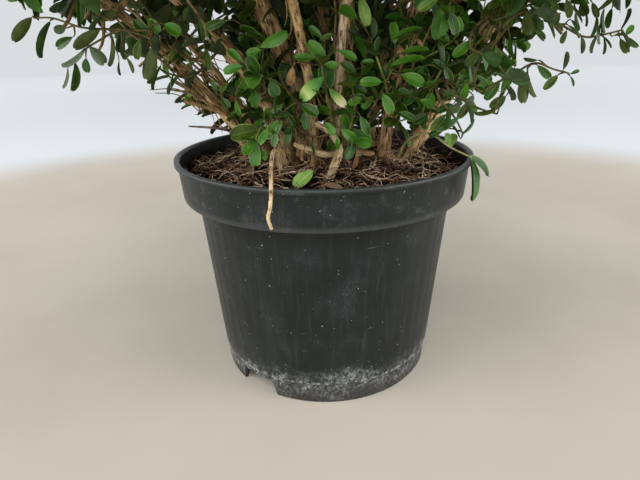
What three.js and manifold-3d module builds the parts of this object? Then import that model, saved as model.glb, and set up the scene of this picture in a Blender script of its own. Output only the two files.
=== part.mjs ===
// Clipped box ball growing as a clump of stems in a black nursery pot.
// Units are millimetres, +Z is up, and the origin is the middle of the pot's underside.
// The front of the plant faces -Y.
import * as THREE from 'three';
import { mergeVertices } from 'three/addons/utils/BufferGeometryUtils.js';
import Module from 'manifold-3d';

const wasm = await Module();
wasm.setup();

// Clearance between neighbouring solids
const GAP = 0.3;

// Detail smaller than this is dropped from fused solids
const SHORTEST = 0.03;

// Nursery pot of about ten litres: a tapered body under a wider collar with a rolled lip
const POT = {
  height: 215.5,
  rimRadius: 140,
  lipHeight: 4,
  lipWidth: 3,
  collarBottom: 180,
  collarRadiusTop: 137,
  collarRadiusBottom: 134.5,
  bodyRadiusTop: 122,
  bodyRadiusBottom: 109.5,
  footBandTop: 22,
  footRadius: 107,
  footWall: 3.2,
  wall: 2.4,
  floorBottom: 18,
  floorThickness: 3,
  roundSides: 60,
};

// Drainage notches in the foot ring
const NOTCH = { count: 3, firstBearing: 233.5, width: 44, height: 16, slope: 9, depth: 30 };

// Compost and fibrous root mat: flat in the middle, lower along the pot's wall
const SOIL = { top: 203, flatRadius: 97, wallLevel: 197 };

// Crown: leaves reach the ball radius and stand out of a dense shell that is open underneath
const BALL = { centreZ: 490, radius: 316, coreRadius: 280, relief: 7, coreBottom: 354 };
const HOLLOW = { centreZ: 466, radius: 186 };
const CENTRE = new THREE.Vector3(0, 0, BALL.centreZ);
const HOLLOW_CENTRE = new THREE.Vector3(0, 0, HOLLOW.centreZ);

// Stems. Bearings are turned from +X towards +Y, leans are from upright at the foot and
// after the length named bend, and radii are at the foot and at the tip.
const STEMS = [
  { name: 'stem_left_low_front', foot: [-58, -18], bearing: 184, lean: [28, 58], bend: 230, radii: [4.8, 3.4] },
  { name: 'stem_left_low_back', foot: [-52, 12], bearing: 166, lean: [26, 60], bend: 230, radii: [4.6, 3.2] },
  { name: 'stem_left_thick', foot: [-31, -24], bearing: 181, lean: [14, 62], bend: 230, radii: [7.6, 5] },
  { name: 'stem_left_old', foot: [-15, 4], bearing: 178, lean: [5, 52], bend: 320, radii: [9.2, 6] },
  { name: 'stem_centre_left', foot: [-7, -28], bearing: 252, lean: [3, 58], bend: 330, radii: [4.2, 3] },
  { name: 'stem_centre_front', foot: [13, -15], bearing: 286, lean: [4, 56], bend: 340, radii: [4.2, 3] },
  { name: 'stem_centre_top', foot: [17, 16], bearing: 40, lean: [3, 8], bend: 400, radii: [7.6, 4.6] },
  { name: 'stem_right_straight', foot: [57, -10], bearing: 335, lean: [3, 40], bend: 330, radii: [5.4, 3.4] },
  { name: 'stem_right_outer', foot: [60, 15], bearing: 352, lean: [3, 68], bend: 240, radii: [5.2, 3.6] },
  { name: 'stem_right_thin', foot: [78, -4], bearing: 350, lean: [24, 36], bend: 190, radii: [4.2, 3] },
  { name: 'stem_right_thick', foot: [84, 24], bearing: 10, lean: [36, 27], bend: 190, radii: [7.6, 5.4] },
  { name: 'stem_back_left', foot: [-30, 40], bearing: 128, lean: [12, 52], bend: 300, radii: [7.6, 4.6] },
  { name: 'stem_back_middle', foot: [7, 50], bearing: 92, lean: [10, 50], bend: 300, radii: [7, 4.6] },
  { name: 'stem_back_right', foot: [44, 48], bearing: 52, lean: [12, 54], bend: 300, radii: [7, 4.6] },
];
const STEM = { sides: 6, ringSpacing: 46, march: 6, bite: 20, flare: 0.25, flareLength: 16, sway: 7 };

// Leaf masses: six round the ball and one on top, each filling the part of the ball nearest to it
const MASSES = [
  { name: 'foliage_front', bearing: 270, elevation: -6 },
  { name: 'foliage_right_front', bearing: 330, elevation: -6 },
  { name: 'foliage_right_back', bearing: 30, elevation: -6 },
  { name: 'foliage_back', bearing: 90, elevation: -6 },
  { name: 'foliage_left_back', bearing: 150, elevation: -6 },
  { name: 'foliage_left_front', bearing: 210, elevation: -6 },
  { name: 'foliage_top', bearing: 0, elevation: 90 },
];

// Twigs on the ball: sites spread evenly over it, with leaves in crossed pairs
const TWIG = { sites: 84, sunk: 20, tipInset: 22, radius: 2.3, tipRadius: 1.1, pairs: 2, lean: 16, tries: 5 };
const LEAF = { length: 47, width: 27, thickness: 1.4 };

// Skirt: sprays under the ball that hang from the lower edge of the shell. They hang lowest at the
// right and rise towards the front, and those that hang lower reach out less.
const SKIRT = {
  sites: 21, sideLevel: 276, frontRise: 80, backRise: 8, rightDrop: 22,
  reach: 190, slope: 1.1, edgeRadius: 222, radius: 2.6, pairs: 2,
};
const SKIRT_LEAF = { length: 38, width: 20, thickness: 1.2 };

// Low leafy shoots among the stems, with leaves of about life size
const SHOOT_LEAF = { length: 27, width: 14, thickness: 0.9 };
const SHOOT_RADII = [1.5, 0.9];

const COLOURS = {
  pot: 0x2e3332,
  soil: 0x4a3628,
  bark: 0x95774f,
  paleBark: 0xb79a6c,
  leaf: 0x2b5a24,
};

const radians = THREE.MathUtils.degToRad;

// A repeatable random number from 0 to 1
function randomFrom(seed) {
  let state = seed >>> 0;
  return () => {
    state = (state + 0x6d2b79f5) >>> 0;
    let value = Math.imul(state ^ (state >>> 15), 1 | state);
    value = (value + Math.imul(value ^ (value >>> 7), 61 | value)) ^ value;
    return ((value ^ (value >>> 14)) >>> 0) / 4294967296;
  };
}

// The unit vector of a bearing and an elevation in degrees
function direction(bearing, elevation) {
  const flat = Math.cos(radians(elevation));
  return new THREE.Vector3(
    flat * Math.cos(radians(bearing)),
    flat * Math.sin(radians(bearing)),
    Math.sin(radians(elevation)),
  );
}

// Solids and meshes

function toSolid(geometry) {
  const bare = geometry.clone();
  bare.deleteAttribute('normal');
  bare.deleteAttribute('uv');
  const merged = mergeVertices(bare, 1e-4);
  return new wasm.Manifold(new wasm.Mesh({
    numProp: 3,
    vertProperties: new Float32Array(merged.attributes.position.array),
    triVerts: new Uint32Array(merged.index.array),
  }));
}

function toGeometry(solid) {
  const mesh = solid.getMesh();
  const geometry = new THREE.BufferGeometry();
  geometry.setAttribute('position', new THREE.BufferAttribute(new Float32Array(mesh.vertProperties), 3));
  geometry.setIndex(new THREE.BufferAttribute(new Uint32Array(mesh.triVerts), 1));
  geometry.computeVertexNormals();
  return geometry;
}

function geometryOf(vertices, faces) {
  const geometry = new THREE.BufferGeometry();
  geometry.setAttribute('position', new THREE.Float32BufferAttribute(vertices.flatMap((v) => v.toArray()), 3));
  geometry.setIndex(faces.flat());
  return geometry;
}

function union(solids) {
  return solids.reduce((whole, solid) => whole.add(solid));
}

// The largest body of a solid without edges too short to keep: loose scraps go, and hollows
// that fusing has sealed are filled
function largestBody(solid) {
  const bodies = solid.simplify(SHORTEST).decompose();
  return bodies.reduce((best, body) => (body.volume() > best.volume() ? body : best));
}

function touches(a, b) {
  return a.intersect(b).volume() > 1e-6;
}

const model = new THREE.Group();

function addMesh(name, geometry, colour, roughness) {
  const material = new THREE.MeshStandardMaterial({ color: colour, roughness, metalness: 0 });
  const mesh = new THREE.Mesh(geometry, material);
  mesh.name = name;
  model.add(mesh);
  return mesh;
}

// Pot

function lathe(profile) {
  const points = profile.map(([radius, z]) => new THREE.Vector2(radius, z));
  return new THREE.LatheGeometry(points, POT.roundSides).rotateX(Math.PI / 2);
}

function potSolid() {
  const floorTop = POT.floorBottom + POT.floorThickness;
  const lipBottom = POT.height - POT.lipHeight;
  const profile = [
    [0, POT.floorBottom],
    [POT.footRadius - POT.footWall, POT.floorBottom],
    [POT.footRadius - POT.footWall, 0],
    [POT.footRadius - 1, 0],
    [POT.footRadius, 1.5],
    [POT.bodyRadiusBottom, POT.footBandTop],
    [POT.bodyRadiusTop, POT.collarBottom],
    [POT.collarRadiusBottom - 1, POT.collarBottom],
    [POT.collarRadiusBottom, POT.collarBottom + 1.5],
    [POT.collarRadiusTop, lipBottom],
    [POT.rimRadius, lipBottom],
    [POT.rimRadius, POT.height - 1],
    [POT.rimRadius - 1, POT.height],
    [POT.rimRadius - POT.lipWidth - 1, POT.height],
    ...potInside().reverse(),
    [0, floorTop],
  ];
  let pot = toSolid(lathe(profile));
  for (let i = 0; i < NOTCH.count; i += 1) {
    pot = pot.subtract(notchCutter(NOTCH.firstBearing + (i * 360) / NOTCH.count));
  }
  return pot;
}

// The pot's inner wall from the floor to under the lip
function potInside() {
  const floorTop = POT.floorBottom + POT.floorThickness;
  const ledge = POT.collarBottom - 1.5;
  return [
    [POT.bodyRadiusBottom - POT.wall, floorTop],
    [POT.bodyRadiusTop - POT.wall, ledge],
    [POT.collarRadiusBottom - POT.wall, ledge + 4.5],
    [POT.collarRadiusTop - POT.wall, POT.height - 1.5],
  ];
}

function notchCutter(bearing) {
  const half = NOTCH.width / 2;
  const outline = new THREE.Shape([
    new THREE.Vector2(-half, -1),
    new THREE.Vector2(half, -1),
    new THREE.Vector2(half - NOTCH.slope, NOTCH.height - 4),
    new THREE.Vector2(half - NOTCH.slope * 1.6, NOTCH.height - 1),
    new THREE.Vector2(-half + 2, NOTCH.height),
    new THREE.Vector2(-half, NOTCH.height - 2),
  ]);
  const cutter = new THREE.ExtrudeGeometry(outline, { depth: NOTCH.depth, bevelEnabled: false });
  cutter.translate(0, 0, -NOTCH.depth / 2);
  cutter.rotateX(Math.PI / 2);
  cutter.translate(0, -POT.footRadius, 0);
  cutter.rotateZ(radians(bearing - 270));
  return toSolid(cutter);
}

// Compost that fills the pot, clear of its wall
function soilSolid() {
  const clear = GAP + 0.1;
  const [low, ledge, collar, top] = potInside();
  const share = (SOIL.wallLevel - collar[1]) / (top[1] - collar[1]);
  const edgeRadius = collar[0] + share * (top[0] - collar[0]);
  return toSolid(lathe([
    [0, low[1] + clear],
    [low[0] - clear, low[1] + clear],
    [ledge[0] - clear, ledge[1] + clear],
    [collar[0] - clear, collar[1] + clear],
    [edgeRadius - clear, SOIL.wallLevel],
    [SOIL.flatRadius, SOIL.top],
    [0, SOIL.top],
  ]));
}

// Stems

// How far a point lies inside the leafy shell, negative outside it
function depthInShell(point) {
  const fromHollow = point.distanceTo(HOLLOW_CENTRE) - HOLLOW.radius;
  const fromOutside = BALL.coreRadius - point.distanceTo(CENTRE);
  return Math.min(fromHollow, fromOutside, point.z - BALL.coreBottom);
}

// The stem's centre line: it leans more and more as it climbs, until its tip is in the shell
function stemLine(stem, index) {
  const point = new THREE.Vector3(stem.foot[0], stem.foot[1], SOIL.top + GAP);
  const points = [point.clone()];
  let travelled = 0;
  let inside = 0;
  while (inside < STEM.bite) {
    const share = Math.min(1, travelled / stem.bend);
    const lean = stem.lean[0] + share * (stem.lean[1] - stem.lean[0]);
    const bearing = stem.bearing + STEM.sway * Math.sin(travelled / 55 + index * 2.1);
    point.addScaledVector(direction(bearing, 90 - lean), STEM.march);
    points.push(point.clone());
    travelled += STEM.march;
    if (depthInShell(point) > 0) inside += STEM.march;
  }
  return new THREE.CatmullRomCurve3(points);
}

// A closed tapering tube through rings of points, with its first ring laid flat if asked
function limbGeometry(curve, radiusAt, sides, steps, flatFoot) {
  const vertices = [];
  const faces = [];
  let across = new THREE.Vector3(0, 1, 0);
  for (let i = 0; i <= steps; i += 1) {
    const share = i / steps;
    const centre = curve.getPointAt(share);
    const along = curve.getTangentAt(share);
    across = across.clone().addScaledVector(along, -across.dot(along)).normalize();
    const side = new THREE.Vector3().crossVectors(along, across);
    const radius = radiusAt(share);
    for (let k = 0; k < sides; k += 1) {
      const turn = (k / sides) * Math.PI * 2;
      const vertex = centre.clone()
        .addScaledVector(across, radius * Math.cos(turn))
        .addScaledVector(side, radius * Math.sin(turn));
      if (flatFoot && i === 0) vertex.addScaledVector(along, (centre.z - vertex.z) / along.z);
      vertices.push(vertex);
    }
  }
  for (let i = 0; i < steps; i += 1) {
    for (let k = 0; k < sides; k += 1) {
      const a = i * sides + k;
      const b = i * sides + ((k + 1) % sides);
      faces.push([a, b, b + sides], [a, b + sides, a + sides]);
    }
  }
  const last = steps * sides;
  for (let k = 1; k < sides - 1; k += 1) {
    faces.push([0, k + 1, k], [last, last + k, last + k + 1]);
  }
  return geometryOf(vertices, faces);
}

function stemGeometry(stem, line, extra) {
  const length = line.getLength();
  const steps = Math.ceil(length / STEM.ringSpacing);
  const radiusAt = (share) => {
    const flare = 1 + STEM.flare * Math.exp((-share * length) / STEM.flareLength);
    return (stem.radii[0] + share * (stem.radii[1] - stem.radii[0])) * flare + extra;
  };
  return limbGeometry(line, radiusAt, STEM.sides, steps, extra === 0);
}

// A limb through given points, with its radius shrinking evenly
function pathLimb(points, radii, sides, steps, flatFoot) {
  const curve = new THREE.CatmullRomCurve3(points.map((p) => new THREE.Vector3(...p)));
  return taperedLimb(curve, radii, sides, steps, flatFoot);
}

function taperedLimb(curve, radii, sides, steps, flatFoot) {
  return limbGeometry(curve, (share) => radii[0] + share * (radii[1] - radii[0]), sides, steps, flatFoot);
}

// Leaves and twigs

// The corners of a leaf: four points of its outline, then a ridge point above and below
function leafCorners({ root, heading, up, size }) {
  const forward = heading.clone().normalize();
  const side = new THREE.Vector3().crossVectors(up, forward).normalize();
  const normal = new THREE.Vector3().crossVectors(forward, side);
  const at = (f, s, n) => root.clone()
    .addScaledVector(forward, f * size.length)
    .addScaledVector(side, s * size.width)
    .addScaledVector(normal, n * size.thickness);
  return [
    at(0, 0, 0),
    at(0.55, 0.5, 1.2),
    at(1, 0, 0),
    at(0.55, -0.5, 1.2),
    at(0.5, 0, 0.5),
    at(0.5, 0, -0.5),
  ];
}

// A leaf as a closed solid of eight faces
function leafSolid(leaf) {
  const faces = [];
  for (let k = 0; k < 4; k += 1) {
    const next = (k + 1) % 4;
    faces.push([4, next, k], [5, k, next]);
  }
  return toSolid(geometryOf(leafCorners(leaf), faces));
}

// Crossed pairs of leaves along a twig, with one leaf at its tip
function leavesOn(curve, pairs, size, droop, random) {
  const leaves = [];
  const start = 0.42;
  for (let i = 0; i <= pairs; i += 1) {
    const share = i === pairs ? 0.97 : start + (i / pairs) * (1 - start);
    const point = curve.getPointAt(share);
    const along = curve.getTangentAt(share);
    const helper = Math.abs(along.z) < 0.9 ? new THREE.Vector3(0, 0, 1) : new THREE.Vector3(0, 1, 0);
    const across = new THREE.Vector3().crossVectors(along, helper).normalize();
    across.applyAxisAngle(along, i * (Math.PI / 2) + (random() - 0.5) * 0.8);
    const sides = i === pairs ? [0] : [1, -1];
    for (const sign of sides) {
      const spread = 0.95 + random() * 0.3;
      const heading = along.clone().addScaledVector(across, sign * spread);
      heading.z -= droop;
      const root = point.clone().addScaledVector(heading.clone().normalize(), -1.5);
      const scale = 0.85 + random() * 0.25;
      leaves.push({ root, heading, up: along.clone().addScaledVector(across, -sign * 0.4), size: {
        length: size.length * scale,
        width: size.width * scale,
        thickness: size.thickness,
      } });
    }
  }
  return leaves;
}

// Ball

// A block that fills the far side of a plane
function farSide(point, normal) {
  const size = 1400;
  const block = new THREE.BoxGeometry(size, size, size);
  const turn = new THREE.Quaternion().setFromUnitVectors(new THREE.Vector3(0, 0, 1), normal);
  block.applyQuaternion(turn);
  const middle = point.clone().addScaledVector(normal, -size / 2);
  block.translate(middle.x, middle.y, middle.z);
  return toSolid(block);
}

// A ball whose surface rises and falls a little, as clipped foliage does
function ballSolid(centre, radius, relief, detail) {
  const ball = new THREE.IcosahedronGeometry(radius, detail);
  const position = ball.attributes.position;
  const point = new THREE.Vector3();
  for (let i = 0; i < position.count; i += 1) {
    point.fromBufferAttribute(position, i);
    const wave = Math.sin(point.x / 31) + Math.sin(point.y / 27 + 1) + Math.sin(point.z / 29 + 2);
    point.setLength(radius + (relief * wave) / 3).add(centre);
    position.setXYZ(i, point.x, point.y, point.z);
  }
  return toSolid(ball);
}

function shellSolid() {
  const bottom = new THREE.Vector3(0, 0, BALL.coreBottom);
  return ballSolid(CENTRE, BALL.coreRadius, BALL.relief, 4)
    .subtract(ballSolid(HOLLOW_CENTRE, HOLLOW.radius, 0, 1))
    .subtract(farSide(bottom, new THREE.Vector3(0, 0, 1)));
}

// The planes that part a mass from its neighbours
function cellPlanes(mass) {
  const own = direction(mass.bearing, mass.elevation);
  return MASSES.filter((other) => other !== mass).map((other) => {
    const normal = own.clone().sub(direction(other.bearing, other.elevation)).normalize();
    return { normal, point: CENTRE.clone().addScaledVector(normal, GAP) };
  });
}

function keepsToCell(points, planes, margin) {
  return points.every((p) => planes.every(({ normal, point }) => p.clone().sub(point).dot(normal) > margin));
}

// Evenly spread directions over a ball, from its top down
function siteDirection(index, count) {
  const z = 1 - (2 * (index + 0.5)) / count;
  const turn = index * Math.PI * (3 - Math.sqrt(5));
  const flat = Math.sqrt(1 - z * z);
  return new THREE.Vector3(flat * Math.cos(turn), flat * Math.sin(turn), z);
}

function massOf(towards) {
  const closeness = (mass) => direction(mass.bearing, mass.elevation).dot(towards);
  return MASSES.reduce((best, mass) => (closeness(mass) > closeness(best) ? mass : best));
}

// Where the skirt ends
function skirtLevel(bearing) {
  const flat = direction(bearing, 0);
  const front = Math.min(1, 1.35 * Math.max(0, -flat.y) ** 1.3);
  const rise = SKIRT.frontRise * front + SKIRT.backRise * Math.max(0, flat.y) ** 2;
  return SKIRT.sideLevel + rise - SKIRT.rightDrop * Math.max(0, flat.x) ** 2;
}

function jitter(random, size) {
  return new THREE.Vector3(random() - 0.5, random() - 0.5, random() - 0.5).multiplyScalar(size);
}

// The twigs that stand out of the shell, each as the points it runs through
function ballTwigs() {
  return Array.from({ length: TWIG.sites }, (_, index) => {
    const towards = siteDirection(index, TWIG.sites);
    const root = CENTRE.clone().addScaledVector(towards, BALL.coreRadius - TWIG.sunk);
    const tip = CENTRE.clone().addScaledVector(towards, BALL.radius - TWIG.tipInset);
    const line = (random) => [root, tip.clone().add(jitter(random, TWIG.lean))];
    return { towards, line, low: false, seed: index };
  }).filter(({ towards }) => CENTRE.z + towards.z * BALL.coreRadius > BALL.coreBottom + 14);
}

// The twigs that hang from the shell's lower edge, every other one shorter
function skirtTwigs() {
  return Array.from({ length: SKIRT.sites }, (_, index) => {
    const bearing = ((index + 0.5) * 360) / SKIRT.sites;
    const level = skirtLevel(bearing) + (index % 2) * 26;
    const flat = direction(bearing, 0);
    const spread = SKIRT.reach + (level - SKIRT.sideLevel) / SKIRT.slope;
    const root = flat.clone().multiplyScalar(SKIRT.edgeRadius).setZ(BALL.coreBottom + 9);
    const tip = flat.clone().multiplyScalar(spread).setZ(level + 10);
    const line = (random) => {
      const end = tip.clone().add(jitter(random, 16));
      const knee = root.clone().lerp(end, 0.5).addScaledVector(flat, 14);
      return [root, knee, end];
    };
    return { towards: tip.clone().sub(CENTRE).normalize(), line, low: true, seed: 500 + index, level };
  }).filter(({ level }) => level < BALL.coreBottom - 14);
}

function twigSolid(curve, low) {
  const radius = low ? SKIRT.radius : TWIG.radius;
  return toSolid(taperedLimb(curve, [radius, TWIG.tipRadius], 3, low ? 3 : 1, false));
}

function twigLeaves(curve, low, random) {
  if (low) return leavesOn(curve, SKIRT.pairs, SKIRT_LEAF, 0.35, random);
  return leavesOn(curve, TWIG.pairs, LEAF, 0, random);
}

function insideBall(points) {
  return points.every((p) => p.distanceTo(CENTRE) < BALL.radius);
}

// The twigs and leaves of one mass: what would leave the mass's space is grown again
// from other random numbers, and skipped after a few tries
function growMass(mass, shell, limbs, limbsClear) {
  const planes = cellPlanes(mass);
  let solid = planes.reduce((rest, { point, normal }) => rest.subtract(farSide(point, normal)), shell);
  const pieces = [];
  const sites = [...ballTwigs(), ...skirtTwigs()].filter(({ towards }) => massOf(towards) === mass);
  for (const site of sites) {
    for (let attempt = 0; attempt < TWIG.tries; attempt += 1) {
      const random = randomFrom(site.seed * 97 + attempt * 7919 + 5);
      const points = site.line(random);
      if (!keepsToCell(points, planes, SKIRT.radius)) continue;
      const curve = new THREE.CatmullRomCurve3(points);
      const twig = twigSolid(curve, site.low);
      if (touches(twig, limbs)) continue;
      const leaves = twigLeaves(curve, site.low, random)
        .filter((leaf) => keepsToCell(leafCorners(leaf), planes, 0) && insideBall(leafCorners(leaf)))
        .map(leafSolid)
        .filter((leaf) => !touches(leaf, limbs));
      if (leaves.length < 3 && attempt < TWIG.tries - 1) continue;
      pieces.push(twig, ...leaves);
      break;
    }
  }
  solid = pieces.reduce((whole, piece) => whole.add(piece), solid);
  return largestBody(solid.subtract(limbsClear));
}

// Low shoots. Each starts inside a stem at a height, bends through points given from there,
// and is cut clear of the stems.
const SHOOTS = [
  { name: 'shoot_front_left', stem: 'stem_left_thick', height: 236, reach: [[-10, -22, 8], [-14, -40, 0]], pairs: 3 },
  { name: 'shoot_front_left_high', stem: 'stem_left_old', height: 262, reach: [[-13, -40, 18], [-24, -66, 26]], pairs: 3 },
  { name: 'shoot_front_middle', stem: 'stem_centre_front', height: 236, reach: [[-8, -26, 28], [-12, -38, 58]], pairs: 3 },
  { name: 'shoot_front_middle_low', stem: 'stem_centre_front', height: 222, reach: [[8, -26, 16], [14, -42, 10]], pairs: 2 },
  { name: 'shoot_front_right', stem: 'stem_right_straight', height: 246, reach: [[-6, -28, 30], [-16, -42, 54]], pairs: 3 },
  { name: 'shoot_right', stem: 'stem_right_thin', height: 236, reach: [[-4, -26, 26], [6, -38, 52]], pairs: 3 },
  { name: 'shoot_right_far', stem: 'stem_right_thick', height: 256, reach: [[8, -26, 18], [30, -42, 28]], pairs: 3 },
];

// The thin shoot that arches over the rim at the right, with two leaves hanging outside the pot
const ARCH_POINTS = [[68, -15, 203.3], [76, -26, 226], [92, -38, 236], [110, -52, 226], [125, -65, 220]];
const ARCH_LEAVES = [
  { root: [123, -63, 221], heading: [22, 4, -17] },
  { root: [124, -66, 220], heading: [7, -6, -36], up: [0.8, -0.5, 0.2] },
  { root: [110, -52, 226], heading: [4, 20, 10] },
  { root: [104, -47, 230], heading: [14, 14, -8] },
];

// The bare shoot that hangs over the front of the rim
const LOOSE_SHOOT = [[-35, -54, 203.3], [-38, -64, 226], [-38, -84, 231], [-36, -118, 225],
  [-34, -138.8, 216], [-35, -142.4, 204], [-37, -141.5, 196], [-35, -140.5, 187]];

// Pale bent stem close to the compost in front of the others, and its side arm
const BENT_STEM = [[5, -66, 203.3], [11, -52, 212], [15, -40, 223], [8, -37, 237], [-5, -40, 246]];
const BENT_ARM = [[15, -40, 221], [4, -42, 219], [-12, -44, 224], [-24, -43, 229]];

// Dead side twigs low on the left stems, given as the low shoots are
const DEAD_TWIGS = [
  { name: 'dead_twig_left', stem: 'stem_left_low_front', height: 236, reach: [[-16, -8, 5], [-42, -12, 8]] },
  { name: 'dead_twig_left_upper', stem: 'stem_left_low_front', height: 262, reach: [[-14, -5, 8], [-38, -8, 13]] },
];
const DEAD_TWIG_RADII = [1.7, 0.7];

// The points of a side shoot, from its stem's centre line outwards
function sidePoints({ stem, height, reach }, lines) {
  const line = lines.get(stem);
  const share = line.getSpacedPoints(200).findIndex((point) => point.z > height) / 200;
  const start = line.getPointAt(share);
  return [start, ...reach.map((offset) => start.clone().add(new THREE.Vector3(...offset)))];
}

function buildShoot(shoot, index, lines, limbs, limbsClear, taken) {
  const curve = new THREE.CatmullRomCurve3(sidePoints(shoot, lines));
  const twig = toSolid(taperedLimb(curve, SHOOT_RADII, 3, 3, false));
  const leaves = leavesOn(curve, shoot.pairs, SHOOT_LEAF, 0.25, randomFrom(11 + index))
    .map(leafSolid)
    .filter((leaf) => !touches(leaf, limbs) && !touches(leaf, taken));
  return largestBody(union([twig, ...leaves]).subtract(limbsClear));
}

function buildArch() {
  const twig = toSolid(pathLimb(ARCH_POINTS, [1.6, 1], 4, 8, true));
  const leaves = ARCH_LEAVES.map(({ root, heading, up }) => leafSolid({
    root: new THREE.Vector3(...root),
    heading: new THREE.Vector3(...heading),
    up: new THREE.Vector3(...(up ?? [0, 0, 1])),
    size: { ...SHOOT_LEAF, length: SHOOT_LEAF.length * 1.15 },
  }));
  return largestBody(union([twig, ...leaves]));
}

// Assembly

const pot = potSolid();
const soil = soilSolid();
addMesh('pot', toGeometry(pot), COLOURS.pot, 0.55);
addMesh('soil', toGeometry(soil), COLOURS.soil, 0.95);

const stemLines = new Map();
const stemSolids = [];
const stemsClear = [];
STEMS.forEach((stem, index) => {
  const line = stemLine(stem, index);
  stemLines.set(stem.name, line);
  const geometry = stemGeometry(stem, line, 0);
  addMesh(stem.name, geometry, COLOURS.bark, 0.9);
  stemSolids.push(toSolid(geometry));
  stemsClear.push(toSolid(stemGeometry(stem, line, GAP)));
});

const bentStem = toSolid(pathLimb(BENT_STEM, [4.2, 2.6], 6, 8, true));
const bentArm = toSolid(pathLimb(BENT_ARM, [3.4, 2.2], 6, 5, false));
const bentStemClear = toSolid(pathLimb(BENT_STEM, [4.2 + GAP, 2.6 + GAP], 6, 8, false));
addMesh('stem_bent', toGeometry(bentStem), COLOURS.paleBark, 0.85);
addMesh('stem_bent_arm', toGeometry(largestBody(bentArm.subtract(bentStemClear))), COLOURS.paleBark, 0.85);
const looseShoot = toSolid(pathLimb(LOOSE_SHOOT, [2.2, 1.8], 6, 14, true));
addMesh('loose_shoot', toGeometry(looseShoot), COLOURS.paleBark, 0.85);

const limbs = union([...stemSolids, bentStem, bentArm, looseShoot]);
const limbsClear = union([...stemsClear, bentStemClear]);

let taken = union([limbs, pot]);
const arch = buildArch();
addMesh('shoot_arching', toGeometry(arch), COLOURS.leaf, 0.6);
taken = taken.add(arch);
for (const twig of DEAD_TWIGS) {
  const curve = new THREE.CatmullRomCurve3(sidePoints(twig, stemLines));
  const solid = largestBody(toSolid(taperedLimb(curve, DEAD_TWIG_RADII, 4, 4, false)).subtract(limbsClear));
  addMesh(twig.name, toGeometry(solid), COLOURS.paleBark, 0.85);
  taken = taken.add(solid);
}
SHOOTS.forEach((shoot, index) => {
  const solid = buildShoot(shoot, index, stemLines, limbs, limbsClear, taken);
  addMesh(shoot.name, toGeometry(solid), COLOURS.leaf, 0.6);
  taken = taken.add(solid);
});

const shell = shellSolid();
for (const mass of MASSES) {
  addMesh(mass.name, toGeometry(growMass(mass, shell, taken, limbsClear)), COLOURS.leaf, 0.6);
}

export default model;
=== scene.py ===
import math

import bpy
import numpy as np
from mathutils import Matrix, Vector, noise


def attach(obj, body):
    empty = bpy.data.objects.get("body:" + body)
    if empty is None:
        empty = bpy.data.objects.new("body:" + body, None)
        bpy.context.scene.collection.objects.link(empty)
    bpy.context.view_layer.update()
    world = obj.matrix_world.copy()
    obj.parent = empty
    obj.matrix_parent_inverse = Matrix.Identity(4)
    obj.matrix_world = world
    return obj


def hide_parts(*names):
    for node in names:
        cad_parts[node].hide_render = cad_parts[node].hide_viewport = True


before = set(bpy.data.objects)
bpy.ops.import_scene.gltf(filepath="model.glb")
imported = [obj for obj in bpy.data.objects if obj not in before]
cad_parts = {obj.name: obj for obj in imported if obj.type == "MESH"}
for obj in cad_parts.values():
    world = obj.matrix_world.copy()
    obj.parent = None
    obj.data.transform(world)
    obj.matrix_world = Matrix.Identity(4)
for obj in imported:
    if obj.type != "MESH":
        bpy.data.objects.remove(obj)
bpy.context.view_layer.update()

MM = 0.001
UP = np.array([0.0, 0.0, 1.0])

# Camera, solved from the pot's rim, collar and foot in the photograph
CAMERA = {"place": (10.4, -465.6, 313.2), "yaw": 1.87, "pitch": 22.54, "roll": 1.2,
          "lens": 27.17, "sensor": 36}
PHOTO = {"width": 640, "height": 480, "focal": 640 * CAMERA["lens"] / CAMERA["sensor"]}

# Nursery pot
POT = {
    "height": 215.5, "rim_radius": 140, "lip_height": 4, "lip_width": 3, "collar_bottom": 180,
    "collar_radius_top": 137, "collar_radius_bottom": 134.5, "body_radius_top": 122,
    "body_radius_bottom": 109.5, "foot_band_top": 22, "foot_radius": 107, "foot_wall": 3.2,
    "wall": 2.4, "floor_bottom": 18, "floor_thickness": 3, "round_sides": 240,
}
NOTCH = {"count": 3, "first_bearing": 233.5, "width": 44, "height": 16, "slope": 4, "depth": 30}
FLUTES = {"count": 52, "depth": 0.45, "bottom": 40, "top": 172, "fade": 14}

# Compost. Its lumps are noise, each of a size, a height and a seed.
SOIL = {"top": 203, "flat_radius": 97, "wall_level": 197, "edge_radius": 133.6, "clearance": 0.4,
        "lumps": [(19, 3.2, 1.7), (7, 2.2, 5.1), (2.6, 1.1, 9.3)], "mound": 3.5, "mound_spread": 280,
        "rings": 64, "round_sides": 170}
# Root fibres that lie on it: look, count, dark and pale colour, thickness
FIBRE = {
    "looks": [("pale", 360, "a98868", "ecd4b4", (0.4, 0.95)), ("tan", 560, "5a3c2c", "987458", (0.35, 0.85)),
              ("dark", 620, "140b07", "3a251a", (0.35, 0.85))],
    "spread": 129, "edge": 130.5, "steps": 7, "length": (12, 46), "lift": 4.2, "rise": 13, "tip": 0.16,
    "leaf_clearance": 13,
}
SURFACE_ROOT = {"length": (26, 58), "share": (0.26, 0.42), "edge": 122, "rise": 9, "steps": 8}

# Ball: leaves reach its radius, and it is open underneath
BALL = {"centre_z": 490, "radius": 316, "core_radius": 280, "core_bottom": 354,
        "relief": 6, "waves": (31, 27, 29)}
HOLLOW = {"centre_z": 466, "radius": 186}
CENTRE = np.array([0.0, 0.0, BALL["centre_z"]])
HOLLOW_CENTRE = np.array([0.0, 0.0, HOLLOW["centre_z"]])

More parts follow.
